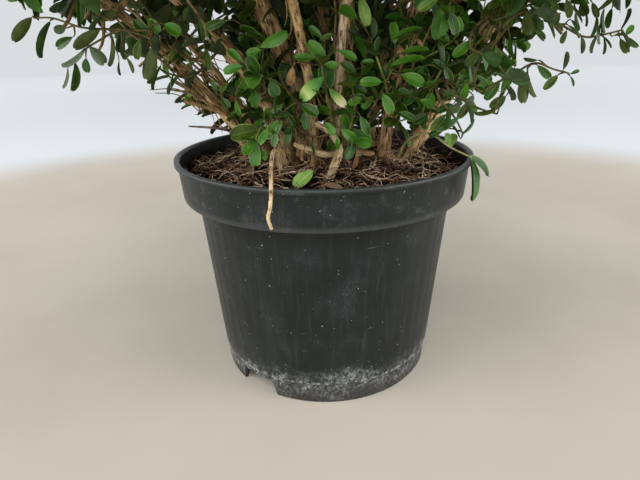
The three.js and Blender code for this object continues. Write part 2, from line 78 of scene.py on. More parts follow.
# Stems: foot, bearing, lean at the foot and after the length named bend, radii at foot and tip, bark
STEMS = [
    ("stem_left_low_front", (-58, -18), 184, (28, 58), 230, (4.8, 3.4), "tan"),
    ("stem_left_low_back", (-52, 12), 166, (26, 60), 230, (4.6, 3.2), "brown"),
    ("stem_left_thick", (-31, -24), 181, (14, 62), 230, (7.6, 5), "tan"),
    ("stem_left_old", (-15, 4), 178, (5, 52), 320, (9.2, 6), "brown"),
    ("stem_centre_left", (-7, -28), 252, (3, 58), 330, (4.2, 3), "tan"),
    ("stem_centre_front", (13, -15), 286, (4, 56), 340, (4.2, 3), "pinkish"),
    ("stem_centre_top", (17, 16), 40, (3, 8), 400, (7.6, 4.6), "brown"),
    ("stem_right_straight", (57, -10), 335, (3, 40), 330, (5.4, 3.4), "reddish"),
    ("stem_right_outer", (60, 15), 352, (3, 68), 240, (5.2, 3.6), "reddish"),
    ("stem_right_thin", (78, -4), 350, (24, 36), 190, (4.2, 3), "tan"),
    ("stem_right_thick", (84, 24), 10, (36, 27), 190, (7.6, 5.4), "brown"),
    ("stem_back_left", (-30, 40), 128, (12, 52), 300, (7.6, 4.6), "brown"),
    ("stem_back_middle", (7, 50), 92, (10, 50), 300, (7, 4.6), "tan"),
    ("stem_back_right", (44, 48), 52, (12, 54), 300, (7, 4.6), "brown"),
]
STEM = {"march": 6, "bite": 20, "flare": 0.25, "flare_length": 16, "sway": 7, "sides": 26, "ring_step": 3}
CLUMP_MIDDLE = (18, 8)
BARK_RELIEF = {"broad": 0.11, "furrow": 0.13, "twist_length": 90, "knot_spacing": 45, "knot_length": 4.5,
               "lobe": 0.42, "lobe_length": 9}

# Leaf masses: a twig belongs to the mass whose direction from the ball's centre is nearest
MASSES = [
    ("foliage_front", 270, -6),
    ("foliage_right_front", 330, -6),
    ("foliage_right_back", 30, -6),
    ("foliage_back", 90, -6),
    ("foliage_left_back", 150, -6),
    ("foliage_left_front", 210, -6),
    ("foliage_top", 0, 90),
]

# Growth inside the masses, from the stems outwards. Each level ends at sites spread evenly.
BOUGHS = {"sites": 96, "reach": 226, "radii": (3.6, 2.3), "points": 14}
BRANCHES = {"sites": 430, "reach": 268, "radii": (2.2, 1.3), "points": 10}
TWIGS = {"sites": 1500, "radii": (1.15, 0.6), "points": 8, "pairs": 5, "clear": 14, "least": 26}
# Twigs over the open space round the stems, with some left out beyond open_beyond
UNDER = {"sites": 112, "inner": 100, "outer": 262, "top": 356, "open_beyond": 105, "open_share": 0.52}
# Twigs further in, whose larger leaves close the view into the ball
INNER = {"sites": 470, "reach": 246, "above": 380, "points": 6, "pairs": 4}
INNER_LEAF = {"length": 29, "width": 17}
# Share of twigs left out low at both sides
SHELL_GAPS = {"below": 368, "beyond": 105, "share": 0.28}
# Twigs that spring from the upper stems
UP_STEM = {"from": 296, "step": 24, "length": (38, 66), "radii": (1.0, 0.5), "share": 0.55}
LEAF = {"length": 23, "width": 12}
# How leaves stand on a twig: angles in degrees, and shares of leaves
SPRIG = {"turn_spread": 14, "opening": 62, "opening_spread": 9, "missing": 0.06, "alike": 0.75, "stalk": 0.8}
# Shares of sprays that are deep, grey, middle, bright, olive and light green
BALL_TONES = (0.32, 0.14, 0.29, 0.14, 0.10, 0.01)
# Leaves nearer to the camera and lower than this have the finer shape
NEAR = {"reach": 470, "below": 400}
# The crown's lower edge, by bearing, and how it rises outwards
HEM = {"side": 276, "front": 80, "back": 8, "right_drop": 22, "rise_from": 190, "right_in": 20,
       "rise": 1.1, "rise_most": 100}

# Low leafy shoots: stem, height on it, offsets of the points they bend through
SHOOTS = [
    ("shoot_front_left", "stem_left_thick", 236, [(-10, -22, 8), (-14, -40, 0)]),
    ("shoot_front_left_high", "stem_left_old", 262, [(-13, -40, 18), (-24, -66, 26)]),
    ("shoot_front_middle", "stem_centre_front", 236, [(-8, -26, 28), (-12, -38, 58)]),
    ("shoot_front_middle_low", "stem_centre_front", 222, [(8, -26, 16), (14, -42, 10)]),
    ("shoot_front_right", "stem_right_straight", 246, [(-6, -28, 30), (-16, -42, 54)]),
    ("shoot_right", "stem_right_thin", 236, [(-4, -26, 26), (6, -38, 52)]),
    ("shoot_right_far", "stem_right_thick", 256, [(8, -26, 18), (30, -42, 28)]),
]
SHOOT_TONES = {
    "shoot_front_left": "middle", "shoot_front_left_high": "deep", "shoot_front_middle": "middle",
    "shoot_front_middle_low": "middle", "shoot_front_right": "deep", "shoot_right": "deep",
    "shoot_right_far": "grey",
}
SHOOT_RADII = (1.5, 0.9)
SHOOT_LEAF = {"length": 24, "width": 13}
SPRAY_LEAF = {"length": 20.5, "width": 10.4}

# Young shoots, thin bare shoots and shreds of bark that spring from the stems by a seeded rule.
# In front of the y named clear the leaves are those that the photograph shows.
LOW_SHOOTS = {"count": 116, "heights": (232, 335), "length": (28, 66), "radii": (1.1, 0.5), "pairs": 3,
              "tones": (0.22, 0.12, 0.42, 0.14, 0.08, 0.02), "low": 246, "flat": 84, "clear": -44}
BACK_SHOOTS = {"count": 92, "heights": (209, 298), "length": (22, 54), "radii": (1.0, 0.5), "pairs": 3,
               "tones": (0.30, 0.18, 0.36, 0.08, 0.08, 0.0), "low": 208, "flat": 112, "clear": -10}
BACK_STEMS = ("stem_left_old", "stem_centre_top", "stem_back_left", "stem_back_middle", "stem_back_right")
THIN_SHOOTS = {"count": 62, "heights": (207, 300), "length": (60, 170), "radii": (1.6, 0.7), "clear": -72}
SHREDS = {"from": 12, "to": 170, "spacing": 4, "length": (8, 30), "radii": (0.75, 0.25)}

# What the photograph shows of single sprays and leaves, in pixels of its 640 by 480 frame, each on
# an upright plane at a y in millimetres
# Sprays: plane, points, pairs of leaves, tone, droop
SPRAYS = {
    "left_long": (-60, [(150, 38), (125, 30), (98, 29), (80, 27), (52, 18), (34, 18)], 1, "olive", 0.5),
    "left_hanging": (-60, [(150, 30), (115, 32), (100, 40), (84, 50), (66, 66)], 1, "olive", 0.5),
    "left_olive": (-55, [(165, 28), (150, 38), (147, 46)], 1, "olive", 0.9),
    "left_low": (-40, [(190, 60), (172, 52), (158, 58)], 1, "deep", 0.6),
    "left_up": (-70, [(110, 20), (92, 10), (78, -6)], 2, "deep", 0.2),
    "left_thin": (-45, [(185, 78), (165, 72), (160, 68)], 1, "olive", 0.7),
    "right_long": (-80, [
        (500, 28), (522, 12), (545, 17), (565, 27), (585, 37), (606, 34), (622, 30)], 2, "olive", 0.4),
    "right_low": (-80, [(480, 92), (515, 73), (535, 63), (553, 69), (568, 73)], 1, "olive", 0.5),
    "right_hang_a": (-80, [(470, 48), (495, 62), (508, 78)], 2, "deep", 0.4),
    "right_hang_b": (-80, [(455, 95), (478, 108), (497, 114)], 1, "olive", 0.3),
    "right_hook": (-80, [(440, 100), (455, 118), (463, 134)], 1, "deep", 0.2),
    "right_up": (-75, [(515, 10), (540, 2), (575, -4)], 2, "deep", 0.3),
    "right_leafy": (-75, [(495, 20), (515, 14), (530, 16)], 2, "deep", 0.5),
    "centre_a": (-55, [(270, 92), (262, 84), (243, 70), (236, 64)], 1, "middle", 0.1),
    "centre_b": (-60, [(331, 134), (331, 110), (325, 85), (323, 66)], 1, "middle", 0.1),
    "centre_c": (-55, [(368, 116), (380, 94), (392, 68), (396, 44)], 2, "middle", 0.1),
    "centre_d": (-50, [(392, 108), (400, 92), (402, 76)], 1, "middle", 0.1),
    "centre_e": (-45, [(365, 92), (362, 70), (372, 40)], 3, "middle", 0.1),
    "centre_f": (-55, [(266, 92), (262, 66), (264, 46)], 1, "middle", 0.1),
    "centre_g": (-60, [(300, 140), (285, 128), (276, 118)], 2, "deep", 0.1),
    "centre_h": (-60, [(350, 128), (355, 104), (352, 88)], 2, "middle", 0.1),
}
# Leaves: plane, then root, tip, breadth and look of each. The bow of a blade adds to its breadth.
BOWED_EDGE = 1.2
SLIMMEST_LEAF = 0.36
STALK_RADII = (0.8, 0.45)
LEAVES_SEEN = {
    "left": (-60, [
        ((32, 17), (13, 41), 8, "olive_back"), ((50, 21), (37, 57), 4, "deep"),
        ((66, 28), (54, 30), 11, "grey_back"), ((80, 23), (81, -2), 7, "deep"),
        ((120, 13), (95, 18), 10, "olive_back"), ((73, 37), (55, 48), 10, "deep"),
        ((86, 48), (64, 68), 10, "grey_back"), ((89, 46), (106, 65), 13, "grey_back"),
        ((86, 58), (87, 73), 10, "deep"), ((112, 34), (112, 67), 8, "olive_back"),
        ((68, 68), (65, 89), 6, "olive_back"), ((75, 62), (74, 93), 4, "deep"),
        ((119, 61), (119, 75), 4, "olive"), ((126, 57), (134, 73), 6, "olive_back"),
        ((140, 40), (136, 60), 10, "olive"), ((152, 47), (147, 80), 16, "olive_back"),
        ((161, 65), (150, 89), 5, "deep"), ((174, 50), (170, 60), 6, "olive"),
        ((174, 73), (170, 88), 4, "deep"), ((133, 19), (147, 34), 12, "deep"),
        ((148, 18), (159, 33), 12, "middle"), ((164, 24), (181, 34), 13, "middle"),
        ((205, 48), (209, 70), 8, "olive"), ((100, 30), (74, 48), 9, "olive_back"),
    ]),
    "centre": (-62, [
        ((243, 66), (223, 72), 11, "bright"), ((242, 62), (228, 49), 9, "middle"),
        ((246, 68), (253, 85), 13, "bright"), ((260, 47), (288, 33), 10, "bright"),
        ((262, 50), (245, 54), 9, "middle"), ((270, 81), (277, 97), 13, "grey"),
        ((326, 62), (308, 41), 14, "bright"), ((315, 58), (294, 57), 9, "middle"),
        ((325, 64), (338, 66), 9, "middle"), ((338, 50), (357, 59), 9, "bright"),
        ((382, 82), (360, 82), 11, "bright"), ((383, 94), (392, 114), 12, "middle"),
        ((390, 67), (425, 56), 11, "bright"), ((401, 75), (425, 84), 14, "bright"),
        ((393, 39), (422, 26), 9, "bright"), ((395, 44), (393, 21), 10, "middle"),
        ((400, 54), (429, 48), 9, "middle"), ((360, 116), (369, 135), 10, "grey"),
        ((353, 128), (361, 145), 13, "grey"), ((341, 129), (356, 142), 11, "middle"),
        ((362, 98), (348, 104), 9, "middle"), ((301, 104), (318, 115), 12, "deep"),
        ((283, 121), (267, 135), 13, "middle"), ((290, 127), (286, 144), 9, "grey"),
        ((222, 98), (229, 108), 9, "deep"), ((236, 100), (240, 117), 7, "middle"),
        ((325, 122), (335, 135), 9, "bright"), ((337, 137), (338, 150), 6, "bright"),
        ((360, -3), (368, 26), 13, "light"), ((440, -3), (418, 10), 12, "light"),
        ((357, 19), (339, 6), 13, "middle"), ((290, 12), (299, 22), 9, "bright"),
        ((262, 149), (266, 160), 7, "bright"), ((324, 77), (300, 100), 16, "yellowing"),
        ((329, 88), (346, 107), 10, "cream"), ((293, 67), (290, 86), 10, "dead"),
        ((357, 150), (354, 169), 6, "dead"), ((415, 38), (424, 50), 7, "dead"),
        ((305, 148), (301, 161), 4, "dead"), ((357, 150), (375, 154), 6, "dead"),
    ]),
    "centre_behind": (-52, [
        ((288, 116), (270, 112), 9, "deep"), ((304, 112), (307, 130), 9, "grey"),
        ((350, 98), (367, 100), 11, "deep"), ((213, 78), (216, 92), 6, "grey"),
        ((228, 84), (219, 92), 7, "middle"), ((268, 42), (245, 33), 9, "deep"),
        ((262, 38), (240, 26), 9, "deep"), ((309, 141), (315, 155), 5, "grey"),
        ((398, 112), (416, 120), 9, "deep"), ((400, 72), (428, 74), 8, "middle"),
        ((450, 42), (434, 30), 10, "middle"), ((447, 72), (433, 60), 9, "deep"),
        ((356, 74), (342, 62), 10, "deep"), ((361, 62), (374, 61), 6, "middle"),
        ((322, 38), (309, 26), 8, "middle"), ((334, 34), (320, 40), 7, "olive"),
        ((198, 18), (203, 42), 8, "deep"), ((226, 20), (205, 28), 9, "deep"),
        ((283, 104), (270, 118), 9, "middle"), ((296, 126), (284, 112), 8, "deep"),
        ((352, 86), (366, 92), 9, "deep"), ((374, 96), (362, 108), 9, "middle"),
        ((412, 96), (398, 90), 9, "deep"), ((420, 100), (434, 106), 9, "middle"),
    ]),
    "over_loose_shoot": (-95, [((268, 129), (259, 144), 9, "middle"), ((277, 132), (273, 146), 8, "grey")]),
    "right": (-80, [
        ((450, 12), (457, 35), 12, "deep"), ((528, 10), (528, 36), 13, "olive_back"),
        ((534, 30), (546, 40), 9, "deep"), ((547, 18), (565, 29), 7, "grey"),
        ((567, 30), (561, 44), 7, "olive_back"), ((568, 25), (581, 37), 6, "grey"),
        ((581, 36), (583, 54), 3, "grey_back"), ((576, 11), (578, 26), 6, "olive_back"),
        ((585, 10), (588, 26), 6, "deep"), ((598, 34), (590, 53), 7, "grey_back"),
        ((602, 36), (613, 47), 4, "deep"), ((613, 36), (626, 34), 5, "olive"),
        ((626, 35), (633, 25), 8, "middle"), ((620, 38), (628, 54), 6, "olive"),
        ((626, 36), (638, 48), 4, "grey"), ((563, 70), (568, 51), 4, "grey_back"),
        ((570, 74), (580, 70), 5, "deep"), ((570, 76), (574, 86), 5, "deep"),
        ((558, 75), (544, 89), 9, "olive"), ((537, 65), (551, 79), 8, "deep"),
        ((527, 71), (522, 104), 13, "olive_back"), ((528, 74), (534, 98), 9, "olive_back"),
        ((501, 93), (514, 67), 11, "deep"), ((538, 60), (524, 59), 3, "deep"),
        ((496, 47), (500, 58), 7, "olive"), ((510, 37), (512, 58), 3, "deep"),
        ((498, 108), (474, 115), 7, "olive_back"), ((460, 116), (436, 131), 8, "grey"),
        ((462, 134), (476, 120), 4, "deep"), ((460, 138), (453, 124), 4, "deep"),
        ((500, 81), (485, 100), 11, "deep"), ((506, 96), (490, 109), 12, "olive"),
        ((477, 75), (490, 94), 10, "grey"), ((466, 84), (463, 100), 10, "middle"),
        ((474, 40), (453, 56), 11, "middle"), ((447, 114), (430, 130), 8, "olive"),
        ((604, 8), (602, 34), 4, "grey_back"), ((592, 2), (598, 18), 6, "olive_back"),
        ((556, 2), (552, 14), 10, "olive"),
    ]),
    "behind_stems": (38, [
        ((330, 104), (318, 116), 11, "deep"), ((311, 108), (324, 121), 10, "deep"),
        ((350, 110), (366, 117), 11, "deep"), ((374, 108), (360, 124), 10, "middle"),
        ((380, 120), (364, 127), 9, "deep"), ((396, 107), (410, 118), 11, "deep"),
        ((422, 106), (408, 124), 10, "deep"), ((426, 117), (410, 129), 10, "middle"),
        ((390, 118), (402, 129), 9, "deep"), ((414, 104), (424, 116), 10, "grey"),
        ((354, 120), (344, 112), 9, "deep"), ((336, 122), (324, 112), 9, "middle"),
    ]),
    "right_hanging": (-80, [
        ((566, -1), (570, 18), 10, "olive"), ((597, 16), (592, 39), 8, "deep"),
        ((601, 22), (597, 45), 6, "grey_back"), ((604, 38), (605, 54), 4, "deep"),
        ((582, 1), (584, 17), 9, "olive_back"), ((571, 20), (580, 31), 7, "deep"),
        ((545, 2), (541, 18), 10, "deep"), ((560, 14), (552, 27), 8, "olive"),
        ((612, 8), (607, 28), 5, "deep"),
    ]),
    "right_behind": (-50, [
        ((444, 66), (452, 84), 10, "deep"), ((470, 62), (474, 84), 9, "deep"),
        ((464, 84), (458, 102), 10, "deep"), ((432, 92), (430, 110), 9, "middle"),
        ((453, 104), (436, 112), 9, "deep"), ((440, 82), (422, 88), 9, "middle"),
        ((450, 118), (434, 129), 9, "deep"), ((458, 96), (444, 92), 9, "grey"),
        ((428, 114), (412, 122), 9, "deep"), ((472, 100), (458, 118), 10, "olive"),
        ((418, 92), (404, 104), 10, "deep"), ((426, 66), (412, 76), 9, "deep"),
        ((444, 130), (428, 136), 8, "deep"), ((478, 52), (466, 66), 10, "olive"),
        ((492, 44), (480, 60), 10, "deep"),
    ]),
}
# Green leaves fallen on the compost: root and tip as a pixel and a plane, slimness, look
FALLEN_LEAVES = [
    (((313, 171), -79), ((294, 186), -93), 0.52, "light"),
    (((199, 166), -8), ((205, 172), -20), 0.4, "middle"),
]
LITTER = {"count": 34, "spread": 124, "lift": 2.2, "length": (9, 19), "slimness": (0.32, 0.5)}
# Bare twigs: plane, pixels, radii
BARE_TWIGS = {
    "hair_a": (-45, [(200, 112), (178, 95), (155, 93)], (0.6, 0.35)),
    "hair_b": (-45, [(205, 115), (180, 90), (150, 90)], (0.6, 0.35)),
    "stub": (-30, [(228, 114), (212, 109), (184, 101)], (2.5, 1.8)),
    "dark_a": (-35, [(222, 112), (188, 88), (160, 58)], (0.9, 0.5)),
    "dark_b": (-35, [(205, 96), (192, 84), (178, 72)], (0.8, 0.4)),
}

# Thin shoot that arches over the rim at the right, and its leaves
ARCH_POINTS = [(68, -15, 201), (76, -26, 226), (92, -38, 236), (110, -52, 226), (125, -65, 220)]
ARCH_RADII = (1.15, 0.75)
ARCH_LEAVES = [
    {"root": (123, -63, 221), "heading": (22, 4, -17), "up": (0.3, -0.5, 1), "look": "deep"},
    {"root": (124, -66, 220), "heading": (7, -6, -36), "up": (0.8, -0.5, 0.2), "look": "grey"},
    {"root": (110, -52, 226), "heading": (4, 20, 10), "up": (0, -0.6, 1), "look": "light"},
    {"root": (104, -47, 230), "heading": (14, 14, -8), "up": (0, -0.4, 1), "look": "light"},
]

# Bare wood that isn't a main stem: points, radii at both ends
BARE_WOOD = {
    "loose_shoot": ([
        (-35, -54, 200), (-38, -64, 226), (-38, -84, 231), (-36, -118, 225),
        (-34, -138.8, 216), (-35, -142.4, 204), (-37, -141.5, 196), (-35, -140.5, 187),
    ], (1.8, 1.3), "peeling"),
    "stem_bent": ([
        (5, -66, 200), (11, -52, 212), (15, -40, 223), (8, -37, 237), (-5, -40, 246)], (4.2, 2.6), "pale"),
    "stem_bent_arm": ([
        (15, -40, 221), (4, -42, 219), (-12, -44, 224), (-24, -43, 229)], (3.4, 2.2), "pale"),
}
DEAD_TWIGS = [
    ("dead_twig_left", "stem_left_low_front", 236, [(-16, -8, 5), (-42, -12, 8)]),
    ("dead_twig_left_upper", "stem_left_low_front", 262, [(-14, -5, 8), (-38, -8, 13)]),
]
DEAD_TWIG_RADII = (1.7, 0.7)

# Soft lights in metres: place, size across and power in watts
LIGHTS = [
    ("left_window", (-4.2, -1.4, 2.2), 3.8, 188),
    ("right_window", (4.2, -1.0, 1.9), 3.2, 158),
    ("front_fill", (0.2, -3.8, 4.7), 2.9, 156),
    ("front_low", (-0.8, -4.6, 1.4), 2.6, 50),
]
LIT_PLACE = (0, 0, 0.35)
FLOOR_RADIUS = 6000


# Small tools

def unit(vectors):
    """Vectors scaled to length one."""
    vectors = np.asarray(vectors, float)
    return vectors / np.maximum(np.linalg.norm(vectors, axis=-1, keepdims=True), 1e-9)


def direction(bearing, elevation):
    """The unit vector of a bearing from +X towards +Y and an elevation, in degrees."""
    turn, rise = math.radians(bearing), math.radians(elevation)
    return np.array([math.cos(rise) * math.cos(turn), math.cos(rise) * math.sin(turn), math.sin(rise)])


def linear_colour(sheet):
    """A linear colour from an sRGB hex value such as 2e3332."""
    channels = [int(sheet[i:i + 2], 16) / 255 for i in (0, 2, 4)]
    return [c / 12.92 if c <= 0.04045 else ((c + 0.055) / 1.055) ** 2.4 for c in channels] + [1.0]


def add(tree, kind, inputs=(), stops=(), **settings):
    """Adds a node with its settings, the stops of its colour ramp, and its inputs, by name or number.
    A socket, or a node's first output in use, is linked. A hex colour is turned to linear."""
    made = tree.nodes.new(kind)
    for name, value in settings.items():
        setattr(made, name, value)
    for _ in stops[2:]:
        made.color_ramp.elements.new(1.0)
    for index, (position, sheet) in enumerate(stops):
        made.color_ramp.elements[index].position = position
        made.color_ramp.elements[index].color = linear_colour(sheet)
    for key, value in dict(inputs).items():
        socket = made.inputs[key]
        if isinstance(value, bpy.types.Node):
            value = next(output for output in value.outputs if output.enabled)
        if isinstance(value, bpy.types.NodeSocket):
            tree.links.new(value, socket)
        else:
            socket.default_value = linear_colour(value) if socket.type == "RGBA" else value
    return made


def new_object(name, data):
    made = bpy.data.objects.new(name, data)
    bpy.context.scene.collection.objects.link(made)
    return made


def new_mesh(name, points, faces=(), lines=()):
    """A mesh in metres from points in millimetres."""
    mesh = bpy.data.meshes.new(name)
    mesh.from_pydata((np.asarray(points, float) * MM).tolist(), lines, faces)
    return mesh


def store(mesh, name, kind, values, domain="POINT"):
    """Puts one value on each point or face of a mesh under a name."""
    field = "vector" if kind == "FLOAT_VECTOR" else "value"
    mesh.attributes.new(name, kind, domain).data.foreach_set(field, np.asarray(values).ravel())


def smooth(mesh, sharp_above=None):
    """Shades a mesh smooth, with edges kept sharp above an angle in degrees."""
    mesh.polygons.foreach_set("use_smooth", [True] * len(mesh.polygons))
    if sharp_above is not None:
        mesh.set_sharp_from_angle(angle=math.radians(sharp_above))


def curve_through(points, count):
    """Evenly spaced points of a smooth curve through a few given ones (centripetal Catmull-Rom)."""
    given = np.asarray(points, float)
    given = np.vstack([2 * given[0] - given[1], given, 2 * given[-1] - given[-2]])
    made = []
    for corners in zip(given, given[1:], given[2:], given[3:]):
        steps = [math.sqrt(np.linalg.norm(q - p)) for p, q in zip(corners, corners[1:])]
        knots = np.cumsum([0.0] + steps)
        for t in np.linspace(knots[1], knots[2], 12, endpoint=False):
            mixed = corners
            for first, last in ((0, 1), (0, 2), (1, 2)):
                mixed = [p + (q - p) * (t - knots[first + i]) / (knots[last + i] - knots[first + i])
                         for i, (p, q) in enumerate(zip(mixed, mixed[1:]))]
            made.append(mixed[0])
    made.append(given[-2])
    return evenly(np.array(made), count)


def evenly(points, count):
    """The same line with its points spaced evenly."""
    travelled = np.concatenate([[0], np.cumsum(np.linalg.norm(np.diff(points, axis=0), axis=1))])
    wanted = np.linspace(0, travelled[-1], count)
    return np.stack([np.interp(wanted, travelled, points[:, k]) for k in range(3)], axis=1)


def tangents(points):
    return unit(np.gradient(points, axis=0))


def length_of(points):
    return float(np.linalg.norm(np.diff(points, axis=0), axis=1).sum())


def bow(start, leaving, end, arriving, count):
    """Points from start to end on a bow that leaves and arrives along the given directions."""
    reach = np.linalg.norm(end - start)
    near, far = start + leaving * reach * 0.4, end - arriving * reach * 0.35
    t = np.linspace(0, 1, count)[:, None]
    return (1 - t) ** 3 * start + 3 * (1 - t) ** 2 * t * near + 3 * (1 - t) * t ** 2 * far + t ** 3 * end


def golden_turns(count):
    """Turns that set any number of points evenly round a middle."""
    return np.arange(count) * math.pi * (3 - math.sqrt(5))


def spread(count):
    """Directions spread evenly over a ball, from its top down."""
    z = 1 - 2 * (np.arange(count) + 0.5) / count
    turn = golden_turns(count)
    flat = np.sqrt(1 - z * z)
    return np.stack([flat * np.cos(turn), flat * np.sin(turn), z], axis=1)


def camera_axes():
    """The camera's right, up and viewing directions."""
    yaw, pitch, roll = (math.radians(CAMERA[key]) for key in ("yaw", "pitch", "roll"))
    level_right = np.array([math.cos(yaw), math.sin(yaw), 0])
    level_ahead = np.array([-math.sin(yaw), math.cos(yaw), 0])
    level_up = level_ahead * math.sin(pitch) + UP * math.cos(pitch)
    right = level_right * math.cos(roll) - level_up * math.sin(roll)
    up = level_right * math.sin(roll) + level_up * math.cos(roll)
    return right, up, level_ahead * math.cos(pitch) - UP * math.sin(pitch)


def even_taper(radii):
    """The radius at a share of a limb's length, where it narrows evenly."""
    return lambda share, _: radii[0] + share * (radii[1] - radii[0])


def kept_within(place, reach):
    """A place on the compost, drawn in where it lies further than reach from the middle."""
    flat = np.linalg.norm(place)
    return place * (reach / flat) if flat > reach else place


def seen_at(pixel, y):
    """Where a pixel of the photograph meets the upright plane at y, in millimetres."""
    right, up, ahead = camera_axes()
    across, down = pixel[0] - PHOTO["width"] / 2, PHOTO["height"] / 2 - pixel[1]
    way = right * across + up * down + ahead * PHOTO["focal"]
    eye = np.array(CAMERA["place"])
    return eye + way * (y - eye[1]) / way[1]


# Materials

def material(name):
    made = bpy.data.materials.new(name)
    made.use_nodes = True
    made.node_tree.nodes.clear()
    return made, made.node_tree


def finish_material(tree, colour, roughness, bump=None, ior=1.5, **plain):
    """Ends a material in a shader with the given colour, roughness and bump, and plain sockets."""
    inputs = {"Base Color": colour, "Roughness": roughness, "IOR": ior, "Metallic": 0.0}
    inputs.update({key.replace("_", " "): value for key, value in plain.items()})
    if bump is not None:
        height, strength, distance = bump
        inputs["Normal"] = add(tree, "ShaderNodeBump", {
            "Height": height, "Strength": strength, "Distance": distance * MM})
    add(tree, "ShaderNodeOutputMaterial", {"Surface": add(tree, "ShaderNodeBsdfPrincipled", inputs)})


def grain(tree, place, size, detail=4.0, stretch=(1, 1, 1), roughness=0.55):
    """A natural pattern whose features measure size millimetres, drawn out along an axis by stretch."""
    mapped = add(tree, "ShaderNodeMapping", {"Vector": place, "Scale": [1 / s for s in stretch]})
    return add(tree, "ShaderNodeTexNoise", {
        "Vector": mapped, "Scale": 1 / (size * MM), "Detail": detail, "Roughness": roughness})


def moulded_polypropylene():
    # Black polypropylene, injection moulded: satin, with pale scuffs, dirt on the collar, and a chalky tide
    # mark with splashes of soil round the foot. It also carries painted light: the collar's dirt is made
    # larger to stand in for sheen, the lip's worn edge has a painted highlight, a painted highlight runs
    # along the collar's lower corner, and painted shade darkens the body just below the collar. Its fine
    # relief measures a few tenths of a millimetre on a real pot, and is drawn at 1.4 mm so that it shows.
    made, tree = material("moulded_polypropylene")
    place = add(tree, "ShaderNodeTexCoord").outputs["Object"]
    height = add(tree, "ShaderNodeSeparateXYZ", {"Vector": place}).outputs["Z"]
    cloud = grain(tree, place, 38, 5)
    fine = grain(tree, place, 1.4, 3)
    wander = add(tree, "ShaderNodeMath", {0: cloud, 1: 0.5}, operation="SUBTRACT")
    wander = add(tree, "ShaderNodeMath", {0: wander, 1: 0.036}, operation="MULTIPLY")
    tide = add(tree, "ShaderNodeMath", {0: height, 1: wander}, operation="SUBTRACT")
    # What each share follows, the two limits there, and the share at each. Heights are in metres.
    limits = {
        "below the tide": (tide, 0.020, 0.042, 1, 0),
        "above the foot": (tide, 0.002, 0.017, 0.24, 1),
        "drifts": (grain(tree, place, 14, 7, roughness=0.66), 0.40, 0.62, 0.22, 1),
        "wisps": (grain(tree, place, 3.0, 10, stretch=(1, 1, 1.3), roughness=0.84), 0.42, 0.66, 0, 1),
        "above the step": (height, 0.0205, 0.0222, 0, 1),
        "below the step": (height, 0.0226, 0.0250, 1.1, 0),
        "soil": (height, 0.008, 0.030, 0.38, 0),
        "spots": (grain(tree, place, 1.8, 0), 0.846, 0.856, 0, 0.8),
        "scratches": (grain(tree, place, 2.4, 3, stretch=(12, 12, 0.7)), 0.71, 0.76, 0, 0.3),
        "clouds": (cloud, 0.35, 0.7, 0, 1),
        "rubbed clouds": (cloud, 0.52, 0.70, 0, 1),
        "specks": (fine, 0.42, 0.72, 0, 0.5),
        "streaks": (grain(tree, place, 3.4, 5, stretch=(1, 1, 26), roughness=0.6), 0.48, 0.78, 0, 0.42),
        "smears": (grain(tree, place, 17, 8, roughness=0.72), 0.54, 0.70, 0, 0.56),
        # Dirt on the collar, made larger to stand in for sheen: partly painted sheen
        "on the collar": (height, 0.178, 0.190, 0, 1),
        # The lip's pale edge: wear together with a painted highlight
        "lip": (height, 0.2128, 0.2150, 0, 0.3),
        # Painted highlight: a pale line along the collar's lower corner
        "above the corner": (height, 0.1797, 0.1803, 0, 1),
        "near the corner": (height, 0.1815, 0.187, 0.24, 0),
        # Painted shade on the body below the collar, darkest just beneath its corner
        "shade": (height, 0.156, 0.178, 0, 0.7),
        "below the corner": (height, 0.1792, 0.1798, 1, 0),
        "dullness": (cloud, 0.3, 0.7, 0.36, 0.48),
    }
    share = {name: add(tree, "ShaderNodeMapRange", dict(enumerate(limit)), interpolation_type="SMOOTHSTEP")
             for name, limit in limits.items()}
    share["fine"] = fine
    share["chalk's dullness"] = 0.4
    for name, a, operation, b in (
        ("band", "below the tide", "MULTIPLY", "above the foot"),
        ("step", "above the step", "MULTIPLY", "below the step"),
        ("chalky places", "band", "ADD", "step"),
        ("broken chalk", "wisps", "MULTIPLY", "drifts"),
        ("chalk", "chalky places", "MULTIPLY", "broken chalk"),
        ("rubs", "rubbed clouds", "MULTIPLY", "specks"),
        ("fine smears", "smears", "MULTIPLY", "fine"),
        ("dust and painted sheen", "on the collar", "MULTIPLY", "fine smears"),
        ("pale wear and painted highlights", "dust and painted sheen", "MAXIMUM", "lip"),
        ("corner", "above the corner", "MULTIPLY", "near the corner"),
        ("painted shade under the collar", "shade", "MULTIPLY", "below the corner"),
        ("marks", "spots", "MAXIMUM", "scratches"),
        ("dull chalk", "chalk", "MULTIPLY", "chalk's dullness"),
        ("roughness", "dullness", "ADD", "dull chalk"),
        ("relief", "fine", "ADD", "chalk"),
    ):
        share[name] = add(tree, "ShaderNodeMath", {0: share[a], 1: share[b]}, operation=operation)
    colour = "111716"
    for name, over in (
        # The pale worn colour also carries painted sheen on the collar and a painted highlight on the lip
        ("clouds", "191f1e"), ("streaks", "333938"), ("rubs", "4a504f"), ("pale wear and painted highlights", "5f6462"),
        # The corner colour is a painted highlight, and the near-black one is painted shade
        ("corner", "5f6462"), ("painted shade under the collar", "0a0e0d"), ("soil", "403a33"), ("marks", "8d918e"),
        ("chalk", "a3a6a4"),
    ):
        colour = add(tree, "ShaderNodeMix", {"Factor": share[name], 6: colour, 7: over}, data_type="RGBA")
    finish_material(tree, colour, share["roughness"], (share["relief"], 0.15, 0.5), Specular_IOR_Level=0.30)
    return made


